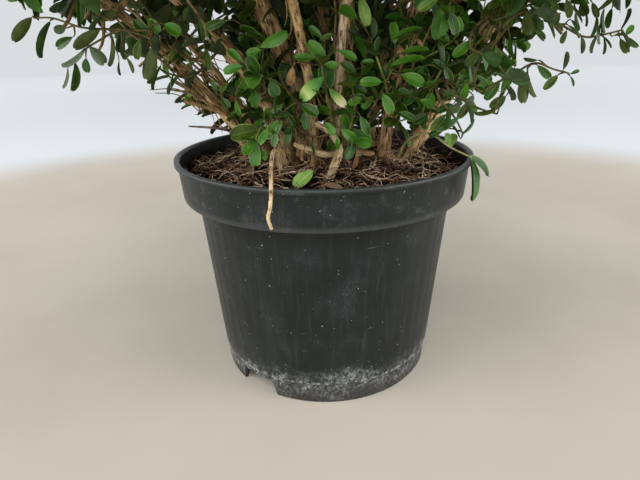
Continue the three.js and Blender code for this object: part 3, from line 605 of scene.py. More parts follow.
def fissured_bark(name, dark, middle, pale, size, dirt_and_shade_top):
    # Bark of box, grown: corky ridges that run along the wood, darker in the furrows, with
    # flaking pale edges, and darker near its start: soiled by the compost, with painted shade where the stems
    # meet it
    made, tree = material(name)
    place = add(tree, "ShaderNodeAttribute", attribute_name="grain").outputs["Vector"]
    along = add(tree, "ShaderNodeSeparateXYZ", {"Vector": place}).outputs["Z"]
    ridge = grain(tree, place, size, 6, stretch=(1, 1, 4.6), roughness=0.68)
    flake = grain(tree, place, size * 3, 6, stretch=(1, 1, 2.4), roughness=0.66)
    ragged = add(tree, "ShaderNodeMath", {0: flake, 1: 0.03}, operation="MULTIPLY")
    ragged_height = add(tree, "ShaderNodeMath", {0: along, 1: ragged}, operation="ADD")
    raised, foot_dirt_and_shade = (
        add(tree, "ShaderNodeMapRange", dict(enumerate(limits)), interpolation_type="SMOOTHSTEP")
        for limits in ((ridge, 0.38, 0.51, 0, 1), (ragged_height, 0.018, dirt_and_shade_top, 0.58, 0)))
    ridges = add(tree, "ShaderNodeValToRGB", {"Fac": flake}, [(0.36, middle), (0.58, pale)])
    colour = add(tree, "ShaderNodeMix", {"Factor": raised, 6: dark, 7: ridges}, data_type="RGBA")
    # Darker near the start: dirt from the compost together with painted shade
    colour = add(tree, "ShaderNodeMix", {"Factor": foot_dirt_and_shade, 6: colour, 7: "2b1b11"}, data_type="RGBA")
    finish_material(tree, colour, 0.88, (ridge, 0.9, 1.2), Specular_IOR_Level=0.2)
    return made


def twig_bark(name, dark, pale):
    # Thin bark of young wood, grown: nearly smooth, in faint patches. The real ones are a
    # millimetre wide, and are drawn at 5 mm so that they show.
    made, tree = material(name)
    place = add(tree, "ShaderNodeTexCoord").outputs["Object"]
    patch = grain(tree, place, 5, 3)
    colour = add(tree, "ShaderNodeValToRGB", {"Fac": patch}, [(0.35, dark), (0.65, pale)])
    finish_material(tree, colour, 0.8, (patch, 0.2, 0.3), Specular_IOR_Level=0.25)
    return made


def waxy_leaf(name, dark, pale, rough):
    # Leaf with a waxy skin, grown: glossy above, duller below, with faintly uneven green
    made, tree = material(name)
    place = add(tree, "ShaderNodeTexCoord").outputs["Object"]
    patch = grain(tree, place, 9, 2)
    colour = add(tree, "ShaderNodeValToRGB", {"Fac": patch}, [(0.36, dark), (0.64, pale)])
    uneven = {"Value": patch, "From Min": 0.3, "From Max": 0.7, "To Min": rough, "To Max": rough + 0.08}
    dull = add(tree, "ShaderNodeMapRange", uneven, interpolation_type="SMOOTHSTEP")
    finish_material(tree, colour, dull, ior=1.45, Specular_IOR_Level=0.36)
    return made


def fading_leaf(name, stops):
    # Leaf that has begun to bleach, grown: it changes colour from its stalk to its tip
    made, tree = material(name)
    share = add(tree, "ShaderNodeAttribute", attribute_name="along").outputs["Fac"]
    finish_material(tree, add(tree, "ShaderNodeValToRGB", {"Fac": share}, stops), 0.4, ior=1.45)
    return made


def root_matted_compost():
    # Peat compost, loose and damp: crumbled, with brown fibre in it, and near-black in the hollows
    # between its crumbs, the dark of damp peat together with painted shade
    made, tree = material("root_matted_compost")
    place = add(tree, "ShaderNodeTexCoord").outputs["Object"]
    crumb = grain(tree, place, 3.2, 6, roughness=0.7)
    # Near-black at low crumb, where the bump sinks: dark peat with painted shade in the hollows
    stops = [(0.40, "030201"), (0.56, "120a06"), (0.74, "3c281a")]
    colour = add(tree, "ShaderNodeValToRGB", {"Fac": crumb}, stops)
    finish_material(tree, colour, 0.95, (crumb, 0.9, 2.0), Specular_IOR_Level=0.08)
    return made


BARK = {
    "tan": fissured_bark("fissured_tan_bark", "4a2c14", "a87e4a", "e8c894", 2.0, 0.060),
    "brown": fissured_bark("fissured_brown_bark", "301c0c", "b0844f", "f0cc96", 2.4, 0.060),
    "reddish": fissured_bark("fibrous_reddish_bark", "341d0c", "bb8454", "f2ca98", 1.8, 0.060),
    "pinkish": fissured_bark("flaking_pinkish_bark", "74502f", "d4ac7e", "fce4bc", 2.0, 0.060),
    "pale": fissured_bark("smooth_pale_bark", "6b4a2a", "dcb67c", "f6e0b6", 2.2, 0.040),
    "peeling": fissured_bark("peeling_loose_bark", "6b4a2c", "b08c64", "e2c8a0", 1.8, 0.030),
    "dead": fissured_bark("weathered_dead_wood", "33241a", "755b45", "a8937c", 1.8, 0.040),
}
BRANCH_BARK = twig_bark("thin_branch_bark", "63482a", "a08252")
TWIG_BARK = twig_bark("green_brown_twig_bark", "433c22", "716539")
THIN_BARK = twig_bark("dry_tan_twig_bark", "7a5a36", "c8a874")
YOUNG_TWIG = twig_bark("young_green_twig", "66782f", "99a657")
ARCH_TWIG = twig_bark("pale_green_tan_twig", "85824e", "b5ad78")
LEAF_LOOKS = {
    "deep": waxy_leaf("leaf_deep_green", "213f08", "335a0f", 0.32),
    "grey": waxy_leaf("leaf_grey_green", "305222", "476c38", 0.34),
    "middle": waxy_leaf("leaf_middle_green", "3a6d12", "4f861e", 0.31),
    "bright": waxy_leaf("leaf_bright_green", "3f751a", "568c2a", 0.33),
    "olive": waxy_leaf("leaf_olive_green", "38490f", "4f6214", 0.42),
    "light": waxy_leaf("leaf_light_green", "6f9440", "8fb058", 0.40),
}
TONES = list(LEAF_LOOKS)
# Undersides. The olive one is painted backlight: the yellow-olive that light shining through a leaf gives,
# put into its colour
LEAF_BACKS = {
    "green_back": waxy_leaf("leaf_back_green", "2e4c19", "3f6126", 0.50),
    "grey_back": waxy_leaf("leaf_back_grey_green", "3e4f33", "546643", 0.52),
    "olive_back": waxy_leaf("leaf_back_olive_painted_backlight", "36430f", "4d5a1c", 0.50),
}
LEAF_EDGE = waxy_leaf("leaf_pale_margin", "678b40", "8daa63", 0.45)
LEAF_RIB = waxy_leaf("leaf_pale_midrib", "4a6f2d", "65893f", 0.42)
LEAF_LIGHT_RIB = waxy_leaf("leaf_light_midrib", "98b568", "b4cd84", 0.42)
LEAF_DEAD = waxy_leaf("leaf_dead_brown", "6a4829", "a88456", 0.65)
LEAF_LITTER = waxy_leaf("leaf_litter_brown", "4f3826", "94775a", 0.75)
SINGLE_LOOKS = {
    "yellowing": fading_leaf("leaf_yellowing", [
        (0.25, "3f7d26"), (0.52, "84b248"), (0.72, "ccda80"), (0.92, "5f9636")]),
    "cream": fading_leaf("leaf_bleached_tip", [(0.3, "5a8d30"), (0.55, "b4bf70"), (0.8, "e6dcb0")]),
    "dead": LEAF_DEAD,
}


# Tubes and leaves, repeated along lines and points

def new_tree(name, inputs, output):
    """A tree of geometry nodes with named inputs and one output, and the sockets of its inputs."""
    tree = bpy.data.node_groups.new(name, "GeometryNodeTree")
    for label, kind in inputs:
        tree.interface.new_socket(label, in_out="INPUT", socket_type="NodeSocket" + kind)
    tree.interface.new_socket(output, in_out="OUTPUT", socket_type="NodeSocketGeometry")
    return tree, add(tree, "NodeGroupInput").outputs


def tube_tree():
    """Turns lines into tubes as thick as each point's thickness."""
    inputs = [("Lines", "Geometry"), ("Sides", "Int"), ("Bark", "Material")]
    tree, given = new_tree("tubes_on_lines", inputs, "Tubes")
    thickness = add(tree, "GeometryNodeInputNamedAttribute", {"Name": "thickness"}, data_type="FLOAT")
    curve = add(tree, "GeometryNodeMeshToCurve", {"Mesh": given["Lines"]})
    section = add(tree, "GeometryNodeCurvePrimitiveCircle", {"Resolution": given["Sides"], "Radius": 1.0})
    made = add(tree, "GeometryNodeCurveToMesh", {
        "Curve": curve, "Profile Curve": section, "Scale": thickness, "Fill Caps": True})
    made = add(tree, "GeometryNodeSetShadeSmooth", {"Geometry": made})
    made = add(tree, "GeometryNodeRealizeInstances", {"Geometry": made})
    made = add(tree, "GeometryNodeSetMaterial", {"Geometry": made, "Material": given["Bark"]})
    add(tree, "NodeGroupOutput", {"Tubes": made})
    return tree


def leaf_tree():
    """Sets a leaf on each point, turned by heading and face, sized by size, and dressed by tone."""
    # The input that dresses each part of a leaf, in one tone or in all of them
    dresses = [(0, tone, f"Top {tone}") for tone in range(len(TONES))]
    dresses += [(1, tone, f"Back {tone % len(LEAF_BACKS)}") for tone in range(len(TONES))]
    dresses += [(2, None, "Edge"), (3, None, "Rib"), (3, TONES.index("light"), "Light Rib")]
    names = dict.fromkeys(name for _, _, name in dresses)
    inputs = [("Points", "Geometry"), ("Leaf", "Object"), *((name, "Material") for name in names)]
    tree, given = new_tree("leaves_on_points", inputs, "Leaves")
    kinds = {**dict.fromkeys(("heading", "face", "size"), "FLOAT_VECTOR"), "part": "INT", "tone": "INT"}
    own = {name: add(tree, "GeometryNodeInputNamedAttribute", {"Name": name}, data_type=kind)
           for name, kind in kinds.items()}
    points = add(tree, "GeometryNodeMeshToPoints", {"Mesh": given["Points"]})
    turn = add(tree, "FunctionNodeAxesToRotation", {
        "Primary Axis": own["heading"], "Secondary Axis": own["face"],
    }, primary_axis="X", secondary_axis="Z")
    leaf = add(tree, "GeometryNodeObjectInfo", {"Object": given["Leaf"]}).outputs["Geometry"]
    made = add(tree, "GeometryNodeInstanceOnPoints", {
        "Points": points, "Instance": leaf, "Rotation": turn, "Scale": own["size"]})
    made = add(tree, "GeometryNodeRealizeInstances", {"Geometry": made})
    is_part, is_tone = (
        [add(tree, "FunctionNodeCompare", {2: own[name], 3: i}, data_type="INT", operation="EQUAL")
         for i in range(count)]
        for name, count in (("part", 4), ("tone", len(TONES))))
    for part, tone, name in dresses:
        chosen = is_part[part]
        if tone is not None:
            chosen = add(tree, "FunctionNodeBooleanMath", {0: chosen, 1: is_tone[tone]}, operation="AND")
        made = add(tree, "GeometryNodeSetMaterial", {
            "Geometry": made, "Selection": chosen, "Material": given[name]})
    add(tree, "NodeGroupOutput", {"Leaves": made})
    return tree


TUBES = tube_tree()
LEAVES = leaf_tree()
DRESSING = {"Edge": LEAF_EDGE, "Rib": LEAF_RIB, "Light Rib": LEAF_LIGHT_RIB}
DRESSING.update({f"Top {i}": made for i, made in enumerate(LEAF_LOOKS.values())})
DRESSING.update({f"Back {i}": made for i, made in enumerate(LEAF_BACKS.values())})


def grown(name, mesh, tree, inputs):
    """The plain mesh that a node tree makes of a mesh."""
    carrier = new_object(name + "_lines", mesh)
    modifier = carrier.modifiers.new("growth", "NODES")
    modifier.node_group = tree
    for socket in tree.interface.items_tree:
        if socket.in_out == "INPUT" and socket.name in inputs:
            modifier[socket.identifier] = inputs[socket.name]
    evaluated = carrier.evaluated_get(bpy.context.evaluated_depsgraph_get())
    made = new_object(name, bpy.data.meshes.new_from_object(evaluated))
    made.data.name = name
    bpy.data.objects.remove(carrier)
    bpy.data.meshes.remove(mesh)
    return made


def tubes(name, limbs, bark, sides):
    """One piece of tubes along limbs, each a line of points and a radius for each point."""
    points, radii, lines = [], [], []
    for line, thickness in limbs:
        first = sum(map(len, points))
        lines += [(first + i, first + i + 1) for i in range(len(line) - 1)]
        points.append(line)
        radii.append(thickness)
    mesh = new_mesh(name, np.vstack(points), lines=lines)
    store(mesh, "thickness", "FLOAT", np.concatenate(radii) * MM)
    return grown(name, mesh, TUBES, {"Sides": sides, "Bark": bark})


def tapered(line, radii):
    return line, np.linspace(radii[0], radii[1], len(line))


def plain_leaf():
    """A leaf blade one unit long and wide, in two layers: folded along its rib and bowed down."""
    outline = [(0.22, 0.34), (0.58, 0.5), (0.90, 0.30)]

    def bowed(u, s):
        return 0.16 * abs(s) - 0.24 * (u - 0.25) ** 2

    left = [(u, s, bowed(u, s)) for u, s in outline]
    right = [(u, -s, z) for u, s, z in left]
    base, tip = (0, 0, bowed(0, 0)), (1, 0, bowed(1, 0))
    above = [(u, 0, bowed(u, 0)) for u in (0.32, 0.72)]
    below = [(u, 0, z - 0.03) for u, _, z in above]
    points = [base, *left, tip, *reversed(right), *above, *below]
    top = [(0, 8, 1), (8, 9, 2, 1), (9, 4, 3, 2), (0, 7, 8), (7, 6, 9, 8), (6, 5, 4, 9)]
    under = [tuple(reversed([i + 2 if i > 7 else i for i in face])) for face in top]
    return leaf_object("plain_leaf", points, top + under, [0] * len(top) + [1] * len(under))


def fine_leaf(name, stations, notch, bowing, fold):
    """A finer blade for leaves seen from near by: margin and midrib are faces of their own.
    Stations are shares along the leaf with half its breadth there."""
    shares, kinds = [1, 0.90, 0.06, -0.06, -0.90, -1], [2, 0, 3, 0, 2]
    row, points = len(shares), []

    def surface(u, s, w):
        return fold * abs(s) ** 1.3 * w - bowing * (u - 0.2) ** 2 + 0.012 * (abs(s) > 0.5)

    for u, w in stations:
        points += [(u - notch * (1 - abs(s)) * (u > 0.9), s * w, surface(u, s, w)) for s in shares]
    first_below = len(points)
    points += [(u - notch * (u > 0.9), 0, surface(u, 0, w) - 0.03) for u, w in stations]
    root, tip = len(points), len(points) + 1
    points += [(0, 0, surface(0, 0, 0)), (1 - notch, 0, surface(1, 0, 0) - 0.012)]
    last = len(stations) - 1
    faces, parts = [], []
    for i in range(last):
        for k, kind in enumerate(kinds):
            a, b = i * row + k, (i + 1) * row + k
            faces.append((a, a + 1, b + 1, b))
            parts.append(kind)
    for k, kind in enumerate(kinds):
        faces += [(root, k + 1, k), (tip, last * row + k, last * row + k + 1)]
        parts += [kind, kind]
    under = []
    for i in range(last):
        a, b, middle = i * row, (i + 1) * row, first_below + i
        under += [(a, b, middle + 1, middle), (middle, middle + 1, b + row - 1, a + row - 1)]
    middle = first_below + last
    under += [(root, 0, first_below), (root, first_below, row - 1)]
    under += [(tip, middle, last * row), (tip, last * row + row - 1, middle)]
    return leaf_object(name, points, faces + under, parts + [1] * len(under))


def leaf_object(name, points, faces, parts):
    """A leaf shape to set out by the node tree: never shown itself."""
    mesh = bpy.data.meshes.new(name)
    mesh.from_pydata(points, [], faces)
    smooth(mesh, sharp_above=70)
    store(mesh, "part", "INT", parts, "FACE")
    store(mesh, "along", "FLOAT", [along for along, _, _ in points])
    made = new_object(name, mesh)
    made.hide_render = True
    made.hide_viewport = False
    return made


SHAPES = {
    "plain": plain_leaf(),
    "near": fine_leaf("near_leaf", [
        (0.08, 0.16), (0.34, 0.44), (0.62, 0.5), (0.87, 0.33), (0.98, 0.1)], 0.02, 0.16, 0.16),
    "fine": fine_leaf("fine_leaf", [
        (0.05, 0.10), (0.16, 0.26), (0.32, 0.42), (0.50, 0.495), (0.68, 0.50), (0.83, 0.43), (0.94, 0.29),
        (0.995, 0.12)], 0.05, 0.17, 0.16),
}


# Pot

def rounded_corners(profile, radii, steps=4):
    """A profile with each corner turned into a small round of its own size."""
    made = [profile[0]]
    for before, corner, after, size in zip(profile, profile[1:], profile[2:], radii[1:]):
        before, corner, after = (np.array(p, float) for p in (before, corner, after))
        into, out = corner - before, after - corner
        size = min(size, np.linalg.norm(into) * 0.45, np.linalg.norm(out) * 0.45)
        start, end = corner - unit(into) * size, corner + unit(out) * size
        for t in np.linspace(0, 1, steps + 1):
            made.append(tuple((1 - t) ** 2 * start + 2 * t * (1 - t) * corner + t ** 2 * end))
    made.append(profile[-1])
    return made


def turned(name, profile, sides, shape=None):
    """A closed solid of revolution. shape(radius, z, turn) may change the radius."""
    points, faces, rings = [], [], []
    for radius, z in profile:
        if radius < 1e-6:
            rings.append([len(points)])
            points.append((0, 0, z))
            continue
        rings.append(list(range(len(points), len(points) + sides)))
        for k in range(sides):
            turn = 2 * math.pi * k / sides
            r = shape(radius, z, turn) if shape else radius
            points.append((r * math.cos(turn), r * math.sin(turn), z))
    for low, high in zip(rings, rings[1:]):
        for k in range(sides):
            n = (k + 1) % sides
            face = [low[k % len(low)], low[n % len(low)], high[n % len(high)], high[k % len(high)]]
            faces.append(list(dict.fromkeys(face)))
    return new_mesh(name, points, faces)


def pot_inside():
    """The pot's inner wall from the floor to under the lip, as radius and height."""
    wall, ledge = POT["wall"], POT["collar_bottom"] - 1.5
    return [
        (POT["body_radius_bottom"] - wall, POT["floor_bottom"] + POT["floor_thickness"]),
        (POT["body_radius_top"] - wall, ledge),
        (POT["collar_radius_bottom"] - wall, ledge + 4.5),
        (POT["collar_radius_top"] - wall, POT["height"] - 1.5),
    ]


def fluted(radius, z, turn):
    """The body's outer wall with faint upright flutes that fade out above and below."""
    outer = np.interp(z, (POT["foot_band_top"], POT["collar_bottom"]),
                      (POT["body_radius_bottom"], POT["body_radius_top"]))
    if abs(radius - outer) > 0.4:
        return radius
    fade = np.interp(z, (FLUTES["bottom"], FLUTES["bottom"] + FLUTES["fade"],
                         FLUTES["top"] - FLUTES["fade"], FLUTES["top"]), (0, 1, 1, 0))
    return radius - FLUTES["depth"] * fade * max(0.0, math.cos(FLUTES["count"] * turn)) ** 2


def notch_cutter(bearing):
    """A block that cuts one drainage notch: sloped at one side, its upper corners cut off."""
    half, height, slope = NOTCH["width"] / 2, NOTCH["height"], NOTCH["slope"]
    outline = [(-half, -1), (half, -1), (half - slope, height - 4), (half - slope * 1.6, height - 1),
               (-half + 2, height), (-half, height - 2)]
    outward, across = direction(bearing, 0), direction(bearing + 90, 0)
    points = [outward * (POT["foot_radius"] + d) + across * x + UP * z
              for d in (-NOTCH["depth"] / 2, NOTCH["depth"] / 2) for x, z in outline]
    n = len(outline)
    faces = [list(range(n)), list(range(2 * n - 1, n - 1, -1))]
    faces += [[i, i + n, (i + 1) % n + n, (i + 1) % n] for i in range(n)]
    return new_object("notch_cutter", new_mesh("notch_cutter", points, [face[::-1] for face in faces]))


def pot_profile():
    """The pot's section from the middle of its underside round to the middle of its floor, with
    rounded corners and a point about every 12 mm."""
    floor_top, lip_bottom = POT["floor_bottom"] + POT["floor_thickness"], POT["height"] - POT["lip_height"]
    foot_inside = POT["foot_radius"] - POT["foot_wall"]
    # Radius, height and how large each corner's round is
    corners = [
        (0, POT["floor_bottom"], 0), (foot_inside, POT["floor_bottom"], 1), (foot_inside, 0, 1),
        (POT["foot_radius"], 0, 1.2), (POT["body_radius_bottom"] - 1.6, POT["foot_band_top"] - 1.2, 0.6),
        (POT["body_radius_bottom"], POT["foot_band_top"], 0.8),
        (POT["body_radius_top"], POT["collar_bottom"], 2.0),
        (POT["collar_radius_bottom"], POT["collar_bottom"], 1.8),
        (POT["collar_radius_top"], lip_bottom, 0.8), (POT["rim_radius"], lip_bottom, 0.9),
        (POT["rim_radius"], POT["height"], 1.4),
        (POT["rim_radius"] - POT["lip_width"] - 1, POT["height"], 1.2),
        *((r, z, 1.0) for r, z in reversed(pot_inside())), (0, floor_top, 0),
    ]
    profile = rounded_corners([(r, z) for r, z, _ in corners], [size for _, _, size in corners])
    fine = []
    for (r0, z0), (r1, z1) in zip(profile, profile[1:]):
        steps = max(1, round(math.hypot(r1 - r0, z1 - z0) / 12))
        fine += [(r0 + (r1 - r0) * i / steps, z0 + (z1 - z0) * i / steps) for i in range(steps)]
    fine.append(profile[-1])
    return fine


def build_pot():
    pot = new_object("nursery_pot", turned("nursery_pot", pot_profile(), POT["round_sides"], fluted))
    cutters = [notch_cutter(NOTCH["first_bearing"] + i * 360 / NOTCH["count"]) for i in range(NOTCH["count"])]
    for cutter in cutters:
        cut = pot.modifiers.new("notch", "BOOLEAN")
        cut.operation = "DIFFERENCE"
        cut.solver = "EXACT"
        cut.object = cutter
    evaluated = pot.evaluated_get(bpy.context.evaluated_depsgraph_get())
    mesh = bpy.data.meshes.new_from_object(evaluated)
    pot.modifiers.clear()
    pot.data = mesh
    for cutter in cutters:
        bpy.data.objects.remove(cutter)
    smooth(mesh, sharp_above=38)
    mesh.materials.clear()
    mesh.materials.append(moulded_polypropylene())
    return pot


# Compost

STEM_FEET = np.array([foot for _, foot, *_ in STEMS], float)


def soil_height(x, y):
    """The compost's surface: crumbled, lower along the wall, and raised a little round the stems."""
    flat = math.hypot(x, y)
    level = np.interp(flat, (SOIL["flat_radius"], SOIL["edge_radius"]), (SOIL["top"], SOIL["wall_level"]))
    near = np.min((STEM_FEET[:, 0] - x) ** 2 + (STEM_FEET[:, 1] - y) ** 2)
    for size, height, seed in SOIL["lumps"]:
        level += height * noise.noise(Vector((x / size, y / size, seed)))
    return level + SOIL["mound"] * math.exp(-near / SOIL["mound_spread"])


def build_soil():
    clear = SOIL["clearance"]
    rings = [(r - clear, z + clear) for r, z in pot_inside()[:3]]
    profile = [(0, rings[0][1]), *rings, (SOIL["edge_radius"] - clear, SOIL["wall_level"] - 6)]
    shares = np.linspace(0, 1, SOIL["rings"]) ** 1.05
    profile += [(SOIL["edge_radius"] * (1 - share), SOIL["top"]) for share in shares]
    mesh = turned("root_matted_compost", profile, SOIL["round_sides"])
    for vertex in mesh.vertices:
        if vertex.co.z > (SOIL["top"] - 0.5) * MM:
            vertex.co.z = soil_height(vertex.co.x / MM, vertex.co.y / MM) * MM
    smooth(mesh, sharp_above=60)
    mesh.materials.append(root_matted_compost())
    return new_object("root_matted_compost", mesh)


def fibre_line(rng, reach, lift, rise):
    """A root fibre that wanders over the compost, arched by lift, its end raised by rise."""
    turn, radius = rng.uniform(0, 2 * math.pi), FIBRE["spread"] * math.sqrt(rng.uniform(0.0, 1.0))
    place = np.array([radius * math.cos(turn), radius * math.sin(turn)])
    heading, bend = rng.uniform(0, 2 * math.pi), rng.normal(0, 0.3)
    made, steps = [], FIBRE["steps"]
    for i in range(steps + 1):
        place = kept_within(place, FIBRE["edge"])
        arch = math.sin(math.pi * i / steps) * lift + rise * (i / steps) ** 2
        made.append([*place, soil_height(*place) + 0.15 + arch])
        heading += bend + rng.normal(0, 0.42)
        place = place + reach / steps * np.array([math.cos(heading), math.sin(heading)])
    return np.array(made)


def build_fibres():
    """Roots over the compost, in three looks. None lies over the larger fallen leaf."""
    pieces = []
    leaf = np.mean([seen_at(*end) for end in FALLEN_LEAVES[0][:2]], axis=0)[:2]
    for index, (name, count, dark, pale, thickness) in enumerate(FIBRE["looks"]):
        rng = np.random.default_rng(70 + index)
        limbs = []
        for _ in range(count):
            reach, lift = rng.uniform(*FIBRE["length"]), rng.uniform(0.0, FIBRE["lift"]) ** 1.35
            line = fibre_line(rng, reach, lift, FIBRE["rise"] * rng.uniform() ** 3)
            thick = rng.uniform(*thickness)
            if np.linalg.norm(line[:, :2] - leaf, axis=1).min() > FIBRE["leaf_clearance"]:
                limbs.append(tapered(line, (thick, FIBRE["tip"])))
        pieces.append(tubes(f"root_fibres_{name}", limbs, twig_bark(f"dry_root_fibre_{name}", dark, pale), 3))
    return pieces


def litter():
    """Dead leaves, curled and tilted, over the compost."""
    rng = np.random.default_rng(12)
    made = []
    for _ in range(LITTER["count"]):
        turn, radius = rng.uniform(0, 360), LITTER["spread"] * math.sqrt(rng.uniform())
        heading = direction(rng.uniform(0, 360), rng.uniform(-8, 38)) * rng.uniform(*LITTER["length"])
        slim = rng.uniform(*LITTER["slimness"])
        face = np.array([rng.normal(0, 0.7), rng.normal(0, 0.7), 1])
        place = direction(turn, 0)[:2] * radius
        root, length = np.array([*place, soil_height(*place) + LITTER["lift"]]), np.linalg.norm(heading)
        made.append((root, unit(heading), face, (length, length * slim, length), 0))
    return made


def fallen_leaves():
    """The green leaves that the photograph shows on the compost."""
    made = []
    for root, tip, slim, look in FALLEN_LEAVES:
        root, tip = seen_at(*root), seen_at(*tip)
        size, face = np.linalg.norm(tip - root), np.array([0.1, -0.9, 1])
        made.append((root, unit(tip - root), face, (size, size * slim, size), TONES.index(look)))
    return made


def root_lines():
    """Woody roots that run out from the stems' feet, half sunk in the compost."""
    rng = np.random.default_rng(21)
    limbs = []
    middle, steps = STEM_FEET.mean(axis=0), SURFACE_ROOT["steps"]
    for _, foot, _, _, _, radii, _ in STEMS:
        out = math.atan2(foot[1] - middle[1], foot[0] - middle[0])
        for k in (-1, 0, 1):
            heading = out + rng.normal(0, 0.9) + k * 0.8
            reach = rng.uniform(*SURFACE_ROOT["length"])
            thick = radii[0] * rng.uniform(*SURFACE_ROOT["share"])
            place, line = np.array(foot, float), []
            for share in np.linspace(0, 1, steps + 1):
                place = kept_within(place, SURFACE_ROOT["edge"])
                rise = SURFACE_ROOT["rise"] * math.exp(-share * reach / 9) - 0.5 * share
                line.append([*place, soil_height(*place) + rise - thick * 0.2])
                heading += rng.normal(0, 0.13)
                place = place + reach / steps * np.array([math.cos(heading), math.sin(heading)])
            limbs.append(tapered(np.array(line), (thick, thick * 0.35)))
    return limbs


# Stems

def stem_line(index, foot, bearing, lean, bend):
    """A stem's centre line: it leans more and more as it climbs, until its tip is in the leafy shell."""
    point = np.array([*foot, SOIL["top"] + 0.3])
    points, travelled, inside = [point.copy()], 0, 0
    while inside < STEM["bite"]:
        share = min(1, travelled / bend)
        tilt = lean[0] + share * (lean[1] - lean[0])
        turn = bearing + STEM["sway"] * math.sin(travelled / 55 + index * 2.1)
        point = point + direction(turn, 90 - tilt) * STEM["march"]
        points.append(point)
        travelled += STEM["march"]
        depth = min(np.linalg.norm(point - HOLLOW_CENTRE) - HOLLOW["radius"],
                    BALL["core_radius"] - np.linalg.norm(point - CENTRE), point[2] - BALL["core_bottom"])
        inside += STEM["march"] * (depth > 0)
    return np.array(points)


def bark_swell(turn, travelled, length, seed, relief, knots, lobes):
    """What a limb's radius is multiplied by at a turn round it and a distance along it: furrows that
    wind round it, knots and, at a stem's foot, lobes."""
    broad = noise.noise(Vector((math.cos(turn) * 0.9, math.sin(turn) * 0.9, travelled / 24 + seed)))
    twisted = turn + travelled / BARK_RELIEF["twist_length"]
    wound = Vector((math.cos(twisted) * 2.7, math.sin(twisted) * 2.7, travelled / 13 + 3 * seed))
    furrow = 0.35 - abs(noise.noise(wound))
    swell = 1 + relief * (BARK_RELIEF["broad"] * broad + BARK_RELIEF["furrow"] * furrow)
    for share, at, size in knots:
        bump = math.exp(-((travelled - share * length) / BARK_RELIEF["knot_length"]) ** 2)
        swell += size * 0.6 * bump * max(0, math.cos(turn - at)) ** 4
    if lobes:
        foot = math.exp(-travelled / BARK_RELIEF["lobe_length"])
        swell += BARK_RELIEF["lobe"] * foot * max(0, math.cos(lobes * turn + seed)) ** 1.5
    return swell


def bark_piece(name, line, radius_at, bark, seed, sides=20, ring_step=4.0, relief=1.0, lobes=0):
    """A limb with the furrows and knots of its bark, closed at both ends."""
    length = length_of(line)
    count = max(6, round(length / ring_step))
    centres = evenly(line, count)
    along = tangents(centres)
    across = unit(np.cross(along[0], [0.3, 1, 0.1]))
    points, places = [], []
    knot_count = max(2, int(length / BARK_RELIEF["knot_spacing"]))
    least, most = (0.05, 0, 0.25), (0.95, 2 * math.pi, 0.55)
    knots = np.random.default_rng(seed).uniform(least, most, (knot_count, 3))
    for i, (centre, ahead) in enumerate(zip(centres, along)):
        across = unit(across - ahead * across.dot(ahead))
        side = np.cross(ahead, across)
        travelled = length * i / (count - 1)
        radius = radius_at(i / (count - 1), travelled)
        for k in range(sides):
            turn = 2 * math.pi * k / sides
            c, s = math.cos(turn), math.sin(turn)
            swell = bark_swell(turn, travelled, length, seed, relief, knots, lobes)
            points.append(centre + (across * c + side * s) * radius * swell)
            places.append((c * radius, s * radius, travelled))
    faces = []
    for i in range(count - 1):
        for k in range(sides):
            a, b = i * sides + k, i * sides + (k + 1) % sides
            faces.append((a, b, b + sides, a + sides))
    last = (count - 1) * sides
    points += [centres[0], centres[-1] + along[-1] * radius_at(1, length) * 0.5]
    places += [(0, 0, 0), (0, 0, length)]
    for k in range(sides):
        n = (k + 1) % sides
        faces += [(len(points) - 2, n, k), (len(points) - 1, last + k, last + n)]
    mesh = new_mesh(name, points, faces)
    store(mesh, "grain", "FLOAT_VECTOR", np.array(places) * MM)
    smooth(mesh)
    mesh.materials.append(bark)
    return new_object(name, mesh)


def stem_piece(name, index, line, radii, bark):
    """A stem's wood, flared at its foot and sunk a little in the compost."""
    evenly_tapered = even_taper(radii)

    def radius_at(share, travelled):
        flare = 1 + STEM["flare"] * math.exp(-max(0, travelled - 4) / STEM["flare_length"])
        return evenly_tapered(share, travelled) * flare

    sunk = np.vstack([line[0] - (line[1] - line[0]) * 0.8, line])
    return bark_piece(f"bark_of_{name}", sunk, radius_at, BARK[bark], index + 1, STEM["sides"],
                      STEM["ring_step"], lobes=3 + index % 3)


def side_points(line, height, reach):
    """The points of a side shoot, from its stem's centre line outwards."""
    fine = evenly(line, 200)
    start = fine[np.argmax(fine[:, 2] > height)]
    return np.array([start, *(start + np.array(offset) for offset in reach)])


# Growth

class Wood:
    """The limbs grown so far, which finer ones start from."""

    def __init__(self):
        self.points, self.headings, self.radii = np.zeros((0, 3)), np.zeros((0, 3)), np.zeros(0)

    def take(self, limbs, first_share):
        """Lets finer limbs start from these, beyond a share of their length."""
        for line, radii in limbs:
            first = int(first_share * len(line))
            self.points = np.vstack([self.points, line[first:]])
            self.headings = np.vstack([self.headings, tangents(line)[first:]])
            self.radii = np.concatenate([self.radii, radii[first:]])

    def best_start(self, site, least):
        """The place that a limb to this site starts from: near it and further in."""
        gap = np.linalg.norm(self.points - site, axis=1)
        outside = np.linalg.norm(self.points - CENTRE, axis=1) - np.linalg.norm(site - CENTRE) + 14
        best = int(np.argmin(gap + 4 * np.clip(outside, 0, None) + 4 * np.clip(least - gap, 0, None)))
        return self.points[best], self.headings[best], self.radii[best]


